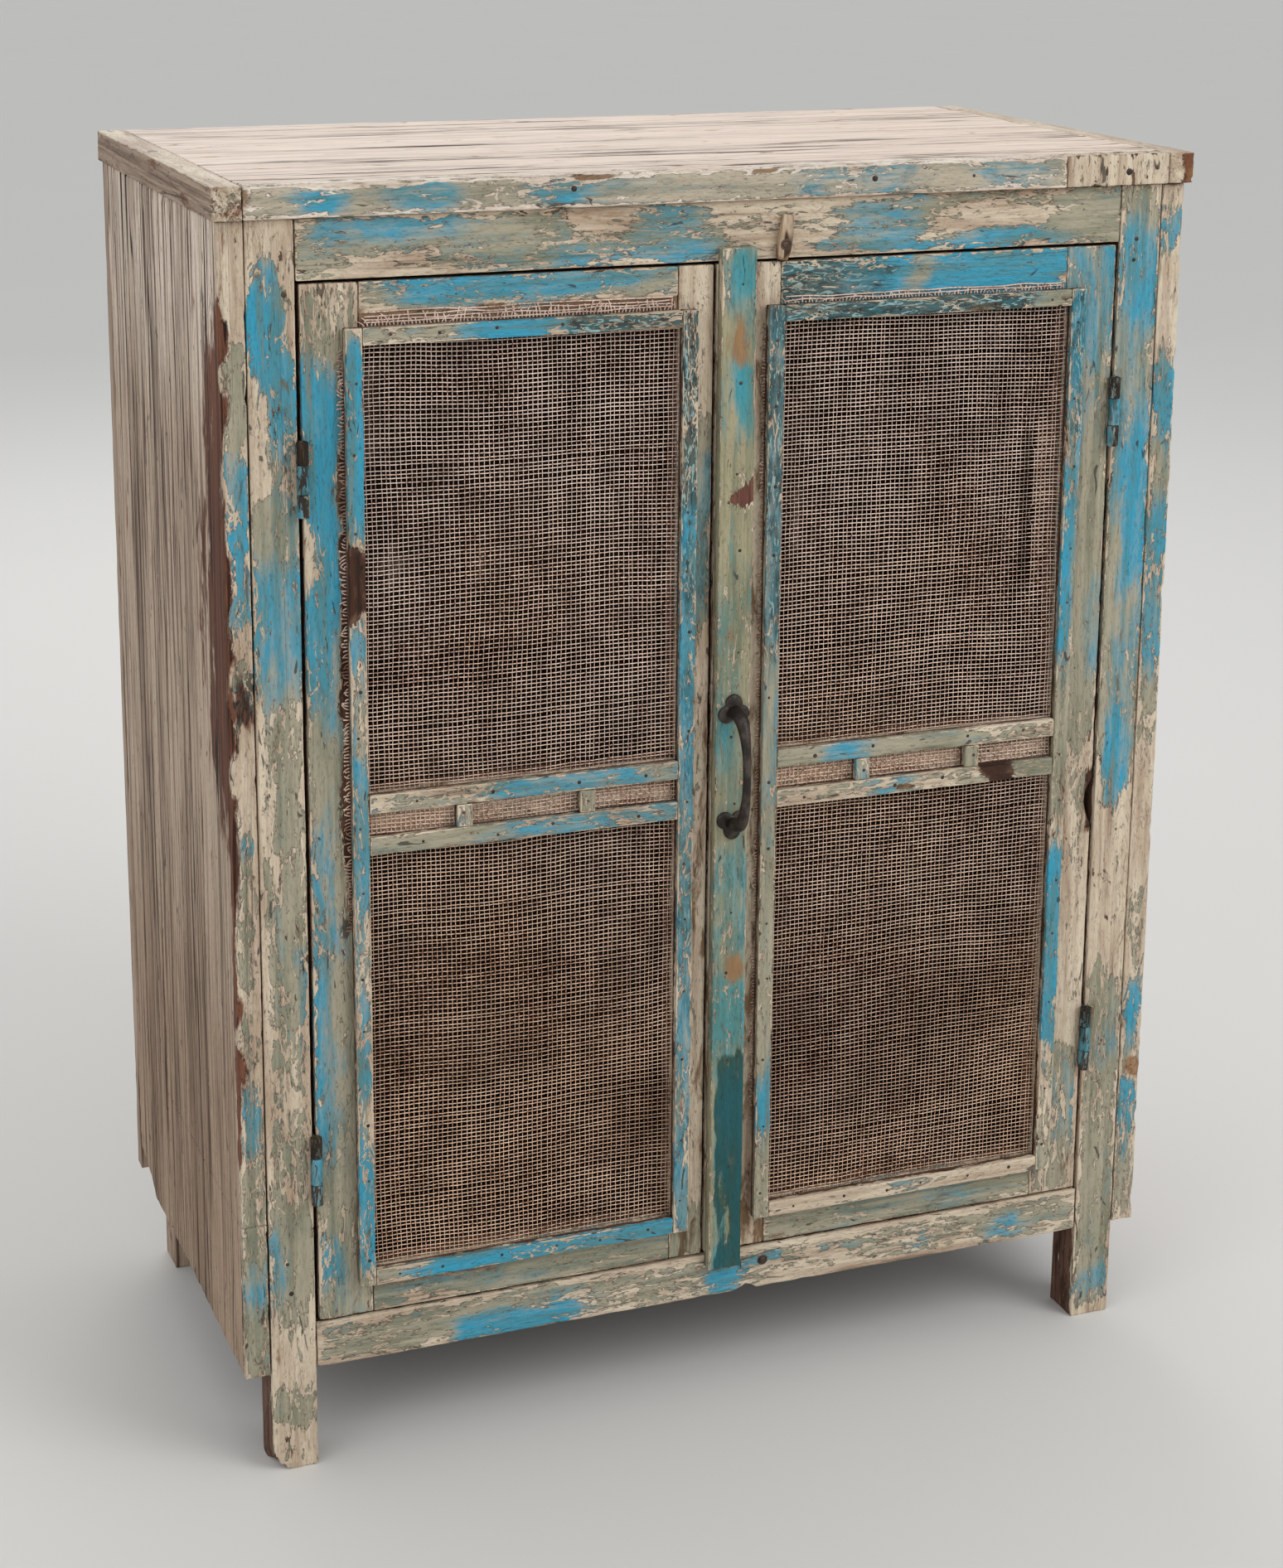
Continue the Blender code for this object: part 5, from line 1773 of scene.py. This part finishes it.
def right_door() -> Door:
    """The right door with its coats.

    Returns:
        The door, ready to build.
    """
    plans = {
        "hinge_stile": PaintPlan(
            (0.1, 0.7, 0.92, 0.05),
            laid(BLUE, (1.0, 1.125, 0.62), (0.91, 1.0, 0.4), (0.69, 0.79, 0.5, 0.6, 1.5))
            + laid(BLUE, (0.19, 0.28, 0.45))
            + laid(SAGE, (0.91, 1.125, 0.9), (0.66, 0.91, 0.97), (0.5, 0.62, 0.35), (0.31, 0.5, 0.12))
            + laid(SAGE, (0.14, 0.31, 0.6))
            + laid(CREAM, (0.54, 0.588, 0.0, 0.92, 1.5, 0.05))
            + laid(GRIME, (0.54, 0.588, 1.4, 0.9, 1.5, 0.05)),
        ),
        "meeting_stile": PaintPlan((0.0, 0.12, 0.95, 0.4), laid(GRIME, (1.04, 1.125, 0.1))),
        "top_rail": PaintPlan(
            (1.0, 0.75, 0.92, 0.0),
            laid(BLUE, (0.04, 0.145, 0.7), (0.165, 0.195, 0.35, 0.3, 1.5, 0.2, 0.03))
            + laid(SAGE, (0.04, 0.35, 0.95))
            + laid(TARNISH, (0.04, 0.16, 0.5), (0.04, 0.11, 0.85)),
        ),
        "mid_rail": PaintPlan((0.0, 0.2, 0.9, 0.3)),
        "bottom_rail": PaintPlan(
            (0.08, 0.85, 0.92, 0.1), laid(BLUE, (0.12, 0.29, 0.35)) + laid(SAGE, (0.11, 0.3, 0.98))
        ),
        "hinge_bead": PaintPlan(
            (0.3, 0.55, 0.85, 0.1),
            laid(BLUE, (0.91, 1.09, 0.8), (0.73, 0.91, 0.9, -0.5, 0.75), (0.53, 0.7, 0.15))
            + laid(BLUE, (0.31, 0.53, 0.9))
            + laid(SAGE, (0.56, 0.91, 0.85))
            + laid(TARNISH, (0.93, 1.09, 0.5)),
            SOILED_AND_SHADED_BEHIND,
        ),
        "meeting_bead": PaintPlan(
            (0.15, 0.75, 0.85, 0.1),
            laid(BLUE, (0.74, 1.09, 0.66), (0.6, 0.74, 0.45), (0.26, 0.33, 0.85), (0.18, 0.26, 0.08))
            + laid(SAGE, (0.56, 1.09, 0.95))
            + laid(TARNISH, (0.74, 1.09, 0.6)),
        ),
        "top_bead": PaintPlan(
            (0.75, 0.9, 0.85, 0.25),
            laid(BLUE, (0.3, 0.37, 0.1))
            + laid(GRIME, (0.3, 0.37, 0.0))
            + laid(TARNISH, (0.0, 0.3, 0.9)),
            SOILED_AND_SHADED_BEHIND,
        ),
        "bottom_bead": PaintPlan((0.08, 0.2, 0.95, 0.05), laid(BLUE, (0.17, 0.23, 0.45))),
        "upper_slat": PaintPlan(
            (0.12, 0.9, 0.92, 0.0), laid(BLUE, (0.095, 0.15, 0.75)) + laid(SAGE, (0.25, 0.35, 0.5))
        ),
        "lower_slat": PaintPlan(
            (0.15, 0.45, 0.92, 0.0),
            laid(BLUE, (0.14, 0.205, 0.65))
            + laid(SAGE, (0.272, 0.312, 0.0), (0.312, 0.35, 0.9))
            + laid(CREAM, (0.272, 0.312, 0.0))
            + laid(GRIME, (0.178, 0.198, 1.2, 0.35, 0.65), (0.272, 0.312, 0.8)),
        ),
        "hinge_block": PaintPlan((0.08, 0.8, 0.92, 0.0)),
        "meeting_block": PaintPlan((0.5, 0.7, 0.92, 0.0)),
    }
    splinter = (
        Bite((0.4000, -0.2210, 0.5650), (0.011, 0.014, 0.024), (-0.0050, 0.0050, 0.0)),
        Bite((0.3870, -0.2215, 0.5350), (0.013, 0.006, 0.006), (0.0, 0.0028, 0.0)),
    )
    panel = WovenPanel("right", 0.007, 0.005, (0.317, 0.78, 0.97), "meeting_bead", 0.1)
    return Door("right", plans, panel, {"hinge_stile": splinter})


@dataclass
class CoverStrip:
    """The strip over the meeting of the doors."""

    node: str = "cover_strip"

    def build(self) -> None:
        """Builds the strip with its chips and stains."""
        plan = PaintPlan(
            (0.3, 0.95, 0.95, 0.05),
            laid(BLUE, (1.075, 1.14, 0.5), (1.09, 1.138, 1.1, 0.4, 0.8))
            + laid(BLUE, (1.03, 1.075, 0.1, -0.5, 0.6), (0.995, 1.035, 1.0, 0.3, 1.5))
            + laid(BLUE, (0.945, 0.995, 0.9, 0.62, 1.5), (0.87, 0.955, 0.0))
            + laid(BLUE, (0.745, 0.87, 0.45, -0.5, 0.45), (0.58, 0.745, 0.5, -0.5, 0.5))
            + laid(BLUE, (0.455, 0.58, 0.5), (0.362, 0.432, 0.8), (0.13, 0.358, 0.95))
            + laid(BLUE, (0.14, 0.345, 0.15, -0.5, 0.12, 0.12), (0.165, 0.25, 0.2, 0.3, 0.5, 0.12))
            + laid(SAGE, (1.08, 1.14, 0.2, -0.5, 0.2), (0.893, 0.913, 0.0, 0.22, 1.5, 0.1, 0.03))
            + laid(CREAM, (0.893, 0.913, 0.0, 0.22, 1.5, 0.1, 0.03))
            + laid(GRIME, (0.13, 0.358, 1.0, 0.1, 1.5, 0.12), (0.165, 0.25, 0.35, 0.3, 0.5, 0.12))
            + laid(STAIN, (1.03, 1.066, 0.8, 0.2, 0.75, 0.3), (1.066, 1.078, 0.5, 0.2, 0.5))
            + laid(STAIN, (0.757, 0.777, 0.6, 0.2, 0.6), (0.432, 0.459, 0.8, 0.35, 1.0, 0.35))
            + laid(TARNISH, (1.06, 1.14, 0.25), (1.09, 1.138, 0.0, 0.4, 0.8), (0.455, 0.58, 0.25)),
            behind=(0.2, 0.7, 0.8, 0.15),
        )
        cut = Cut(arris=0.0022, along=0.007, across=0.0045, relief=0.0004)
        joinery(self.node, UPRIGHT, STRIP_WOOD, plan, cut)


HINGE_CAP = ((0.0030, -0.0004), (0.0034, 0.0002), (0.0024, 0.0009), (0.0010, 0.0012))
LEAF_CUT = Cut(arris=0.0003, along=0.008, across=0.004, relief=0.00005)


@dataclass
class ButtHinge:
    """A butt hinge with its pin, three knuckles and two leaves in the gap."""

    side: str
    level: str
    length: float = 0.067
    middle: float = 0.027
    play: float = 0.0006
    radius: float = 0.0055
    rubbed: float = 0.0007
    leaf: float = 0.0011
    leaf_depth: float = 0.0200
    leaf_offset: float = 0.00075
    frame_blue: float = 0.55
    door_blue: float = 0.75

    def knuckle(self, low: float, high: float) -> Shell:
        """One knuckle with rubbed ends.

        Args:
            low: lower end, from the hinge's middle.
            high: upper end.
        Returns:
            The turned knuckle about Z.
        """
        r, soft = self.radius, self.rubbed
        rim = [(r - soft, 0.0), (r - 0.2 * soft, 0.4 * soft), (r, 1.5 * soft)]
        foot = [(reach, low + rise) for reach, rise in rim]
        head = [(reach, high - rise) for reach, rise in rim[::-1]]
        return lathe([*foot, (r * 0.985, (low + high) / 2.0), *head])

    def plate(self, x: float, axis: Vector, low: float, high: float, seed: int) -> Shell:
        """A leaf between two heights, from the barrel back into the gap.

        Args:
            x: middle of the plate.
            axis: place of the hinge's middle.
            low: lower end, from the hinge's middle.
            high: upper end.
            seed: picks the wear.
        Returns:
            The plate in place.
        """
        near = np.array([x - self.leaf / 2.0, axis.y + 0.6 * self.radius, axis.z + low])
        far = np.array([x + self.leaf / 2.0, axis.y + self.radius + self.leaf_depth, axis.z + high])
        return WornBoard(near, far, UPRIGHT, seed, LEAF_CUT).shell()[0]

    def build(self) -> None:
        """Builds the frame half and the door half."""
        label = f"{self.side}_{self.level}_hinge"
        low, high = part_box(f"{label}_frame_leaf")
        axis = pivot_of(f"{self.side}_door_hinge")
        axis.z = (low.z + high.z) / 2.0
        here = Matrix.Translation(axis)
        outward = 1.0 if self.side == "right" else -1.0
        post = axis.x + outward * self.leaf_offset
        door = axis.x - outward * self.leaf_offset
        half, inner = self.length / 2.0, self.middle / 2.0
        free = inner - self.play
        cap = lathe([(reach, half + rise) for reach, rise in HINGE_CAP], 14)
        halves = {
            "frame_leaf": [
                self.knuckle(inner, half).placed(here),
                self.knuckle(-half, -inner).placed(here),
                cap.placed(here),
                self.plate(post, axis, inner, half, 3),
                self.plate(post, axis, -half, -inner, 4),
            ],
            "door_leaf": [self.knuckle(-free, free).placed(here), self.plate(door, axis, -free, free, 5)],
        }
        for name, parts in halves.items():
            node = f"{label}_{name}"
            shell = Shell.joined(parts)
            blue = self.door_blue if name == "door_leaf" else self.frame_blue
            coats = np.tile(all_coats((blue, 0.3, 0.1, 0.5)), (len(shell.points), 1))
            if label == "left_upper_hinge":
                coats[shell.points[:, 2] > axis.z + inner] = all_coats((0.0, 0.05, 0.15, 0.6))
            body, seed = body_of(node), seed_of(node)
            fit(shell, f"worn_{node}", HINGE_PAINT, body, seed, node, grain=UPRIGHT, coats=coats)


@dataclass
class PullHandle:
    """Cast pull: two domed three-lobed plates and a slim bow."""

    node: str = "pull_handle"
    lobe_reach: float = 0.0080
    lobe_radius: float = 0.0082
    lobe_spread: float = 112.0
    rim: float = 0.0010
    dome: float = 0.0042
    core: float = 0.008
    bow_half: float = 0.0034
    end_half: float = 0.0064
    seat: float = 0.002
    seed: int = 71

    def plate(self, up: float) -> Shell:
        """A three-lobed domed plate about the origin, raised towards -Y.

        Args:
            up: 1 when the middle lobe points up, -1 when it points down.
        Returns:
            The closed plate.
        """
        aim = np.radians(90.0 * up + np.array([0.0, self.lobe_spread, -self.lobe_spread]))
        middles = np.stack([np.cos(aim), np.sin(aim)], axis=1) * self.lobe_reach
        angle = np.linspace(0.0, 2.0 * math.pi, 60, endpoint=False)
        way = np.stack([np.cos(angle), np.sin(angle)], axis=1)
        ahead = way @ middles.T
        inside = self.lobe_radius**2 - ((middles**2).sum(axis=1) - ahead**2)
        reach = np.where(inside > 0.0, ahead + np.sqrt(np.maximum(inside, 0.0)), 0.0).max(axis=1)
        reach = np.maximum(reach, self.lobe_reach * 0.72)
        share = np.array([1.0, 0.96, 0.89, 0.78, 0.64, 0.48, 0.3, 0.12])
        flat = way[None] * (reach[None, :, None] * share[:, None, None])
        gap = np.linalg.norm(flat[:, :, None] - middles, axis=-1)
        swell = np.clip(1.0 - (gap / (self.lobe_radius * 1.06)) ** 2, 0.0, 1.0).max(axis=2) ** 0.5
        core = np.clip(1.0 - (np.linalg.norm(flat, axis=-1) / self.core) ** 2, 0.0, 1.0) ** 0.5
        rise = self.rim + self.dome * np.maximum(swell * 0.85, core)
        domed = np.stack([flat[..., 0], -rise, flat[..., 1]], axis=-1)
        back = domed[:1] * np.array([1.0, 0.0, 1.0])
        return ringed(np.concatenate([back, domed]), (0.0, 0.0, 0.0), (0.0, -rise[-1].mean(), 0.0))

    def build(self) -> None:
        """Builds the plates and the bow as one piece."""
        low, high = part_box(self.node)
        middle = (low + high) / 2.0
        half = (high.z - low.z) / 2.0 - self.lobe_reach - self.lobe_radius
        turn = np.linspace(0.0, math.pi, 41)
        stand = (high.y - low.y - self.seat - self.bow_half) * np.sin(turn) ** 0.62
        x = np.full(turn.size, middle.x)
        path = np.stack([x, high.y - self.seat - stand, middle.z + half * np.cos(turn)], axis=1)
        grip = self.bow_half + (self.end_half - self.bow_half) * np.abs(np.cos(turn)) ** 2.5
        parts = [swept(path, X_WAY, np.stack([grip * 1.15, grip], axis=1))]
        for up in (1.0, -1.0):
            place = Vector((middle.x, high.y, middle.z + up * half))
            parts.append(self.plate(up).placed(Matrix.Translation(place)))
        fit(Shell.joined(parts), "cast_pull_handle", HANDLE_IRON, body_of(self.node), self.seed, self.node)


BUTTON_CUT = Cut(arris=0.0018, along=0.003, across=0.0022, relief=0.0004, nicks=0.8)


@dataclass
class TurnButton:
    """A whittled bar that turns on one screw."""

    node: str
    joint: str
    left: float
    right: float
    width: float
    thickness: float
    lean: float
    finish: Finish
    plan: PaintPlan
    taper: float = 0.25
    thinned: float = 0.35
    clearance: float = 0.0003
    head: float = 0.0038
    slot_half: float = 0.0004
    screw_seed: int = 83

    def build(self) -> None:
        """Builds the bar and its slotted screw as one piece each."""
        seed = seed_of(self.node)
        low = np.array([self.left, -self.thickness, -self.width / 2.0])
        high = np.array([self.right, 0.0, self.width / 2.0])
        shell, edge = WornBoard(low, high, LEVEL, seed, BUTTON_CUT).shell()
        points = shell.points
        far = np.where(points[:, 0] > 0.0, points[:, 0] / self.right, points[:, 0] / self.left)
        points[:, 2] *= 1.0 - self.taper * far**2
        points[:, 1] *= 1.0 - self.thinned * far**3
        coats = self.plan.amounts(points, (low, high), LEVEL, seed)
        pivot = pivot_of(self.joint)
        face = Vector((pivot.x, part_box("front_top_rail")[0].y - self.clearance, pivot.z))
        place = Matrix.Translation(face) @ Matrix.Rotation(self.lean, 4, "Y")
        grain = UPRIGHT if abs(math.sin(self.lean)) > 0.7 else LEVEL
        bar, body = shell.placed(place), body_of(self.node)
        marks = {"grain": grain, "coats": coats, "edge": edge}
        fit(bar, f"whittled_{self.node}", self.finish, body, seed, self.node, **marks)
        fit(self.screw().placed(place), f"{self.node}_screw", NAIL_IRON, body, self.screw_seed)

    def screw(self) -> Shell:
        """The screw: a washer ring, a domed head and its slot.

        Returns:
            The screw in the bar's own place.
        """
        r, t = self.head, self.thickness
        low = np.array([-r * 0.75, -t - 0.0015, -self.slot_half])
        high = np.array([r * 0.75, -t - 0.0010, self.slot_half])
        slot, _ = WornBoard(low, high, LEVEL, 5, FINE).shell()
        return Shell.joined([turned_head(SCREW_RING, r, t, 20), turned_head(SCREW_DOME, r, t, 18), slot])


def turn_buttons() -> list[TurnButton]:
    """The buttons above and below the doors.

    Returns:
        Both of them, ready to build.
    """
    lean = math.radians(8.0)
    dry = PaintPlan((0.0, 0.0, 0.0, 0.3), behind=(0.0, 0.0, 0.0, 0.5), depth=0.004)
    dull = PaintPlan(
        (0.75, 0.95, 0.8, 0.1), laid(TARNISH, (-0.05, 0.05, 0.2)), behind=(0.0, 0.1, 0.1, 1.0), depth=0.003
    )
    upper = TurnButton(
        "upper_turn_button",
        "upper_button_pivot",
        left=-0.0145,
        right=0.027,
        width=0.013,
        thickness=0.007,
        lean=lean - math.pi / 2.0,
        finish=BUTTON_WOOD,
        plan=dry,
    )
    lower = TurnButton(
        "lower_turn_button",
        "lower_button_pivot",
        left=-0.022,
        right=0.022,
        width=0.011,
        thickness=0.004,
        lean=-lean,
        finish=WORN_WOOD,
        plan=dull,
        taper=0.1,
    )
    return [upper, lower]


@dataclass
class Studio:
    """Pale floor, soft light and the camera at the photograph's angle."""

    eye: Place = (-1.0189, -2.6234, 1.4977)
    forward: Place = (0.3525, 0.9056, -0.2358)
    roll: float = 0.0078
    lens: float = 66.89
    shift: float = -0.1564
    aim: Place = (0.0, 0.0, 0.6)
    lamp_size: float = 3.0
    floor_half: float = 40.0
    floor_colour: Colour = (222, 220, 216)
    sky: Colour = (236, 238, 240)
    sky_light: float = 0.78
    sky_seen: float = 0.95

    def build(self) -> None:
        """Sets up everything round the object."""
        bpy.context.scene.view_settings.view_transform = "Standard"
        self.camera()
        self.floor()
        self.world()
        self.lamp("key", (2.6, -3.4, 3.4), 85.0)
        self.lamp("fill", (-3.6, -2.2, 2.4), 22.0)
        self.lamp("back", (0.5, 3.6, 3.2), 40.0)

    def camera(self) -> None:
        """Places the camera."""
        data = bpy.data.cameras.new("photo camera")
        data.lens = self.lens
        data.sensor_width = 36.0
        data.sensor_fit = "AUTO"
        data.shift_y = self.shift
        data.clip_start = 0.05
        data.clip_end = 200.0
        camera = added("photo camera", data)
        ahead = Vector(self.forward).normalized()
        right = ahead.cross(Vector((0.0, 0.0, 1.0))).normalized()
        up = right.cross(ahead)
        turned_right = right * math.cos(self.roll) + up * math.sin(self.roll)
        turned_up = up * math.cos(self.roll) - right * math.sin(self.roll)
        turn = Matrix((turned_right, turned_up, -ahead)).transposed()
        camera.matrix_world = Matrix.Translation(Vector(self.eye)) @ turn.to_4x4()
        bpy.context.scene.camera = camera

    def floor(self) -> None:
        """A wide plain floor."""
        far = self.floor_half
        ends = [(-far, -far, 0.0), (far, -far, 0.0), (far, far, 0.0), (-far, far, 0.0)]
        mesh = bpy.data.meshes.new("studio_floor")
        mesh.from_pydata(ends, [], [(0, 1, 2, 3)])
        material, graph, shader = new_material("studio floor")
        tone = graph.noise(graph.node("ShaderNodeTexCoord").outputs["Object"], 1.2, 3.0)
        lighter = linear(tuple(value + 1.5 for value in self.floor_colour))
        graph.feed(
            shader, {"Base Color": graph.mix(tone, linear(self.floor_colour), lighter), "Roughness": 0.85}
        )
        mesh.materials.append(material)
        added("studio_floor", mesh)

    def world(self) -> None:
        """Even light from all round; the camera sees a pale backdrop."""
        world = bpy.data.worlds.new("studio world")
        world.use_nodes = True
        world.node_tree.nodes.clear()
        graph = Graph(world.node_tree)
        light = graph.node("ShaderNodeBackground", {0: linear(self.sky), 1: self.sky_light})
        seen = graph.node("ShaderNodeBackground", {0: linear(self.sky), 1: self.sky_seen})
        rays = graph.node("ShaderNodeLightPath")
        direct = graph.math("MAXIMUM", rays.outputs["Is Camera Ray"], rays.outputs["Is Glossy Ray"])
        mixed = graph.node("ShaderNodeMixShader", {0: direct, 1: light.outputs[0], 2: seen.outputs[0]})
        graph.node("ShaderNodeOutputWorld", {"Surface": mixed.outputs[0]})
        bpy.context.scene.world = world

    def lamp(self, name: str, place: Place, power: float) -> None:
        """Adds a soft area lamp that faces the cupboard.

        Args:
            name: the lamp's name.
            place: where it hangs.
            power: in watts.
        """
        data = bpy.data.lights.new(name, "AREA")
        data.shape = "DISK"
        data.size = self.lamp_size
        data.energy = power
        turn = (Vector(self.aim) - Vector(place)).to_track_quat("-Z", "Y").to_matrix().to_4x4()
        added(name, data).matrix_world = Matrix.Translation(Vector(place)) @ turn


EDGING_NAILS = (
    (-0.152, 1.194, 1.6),
    (0.139, 1.193, 1.7),
    (0.24, 1.192, 0.9),
    (0.404, 1.190, 2.0),
    (0.434, 1.193, 1.2),
)
POST_NAILS = (
    (-0.412, 1.112, 1.6),
    (-0.425, 0.18, 1.5),
    (-0.428, 0.21, 1.1),
    (0.42, 1.125, 1.3),
    (0.418, 1.105, 1.2),
)


def carcass_nails() -> Nails:
    """Nails in the edging and the posts, at the X, Z and size of each.

    Returns:
        The nails, ready to build.
    """
    nails = Nails("carcass")
    for node, spots in (("top_edging_front", EDGING_NAILS), ("left_front_post", POST_NAILS)):
        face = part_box(node)[0].y
        nails.spots += [(x, face, z, size) for x, z, size in spots]
    return nails


def main() -> None:
    """Builds the studio, then the cupboard."""
    logging.basicConfig(level=logging.INFO, format="%(name)s: %(message)s")
    Studio().build()
    Carcass().build()
    Top().build()
    Inside().build()
    left_door().build()
    right_door().build()
    CoverStrip().build()
    for side, level in itertools.product(("left", "right"), ("lower", "upper")):
        ButtHinge(side, level).build()
    PullHandle().build()
    for button in turn_buttons():
        button.build()
    carcass_nails().build()


if __name__ == "__main__":
    main()
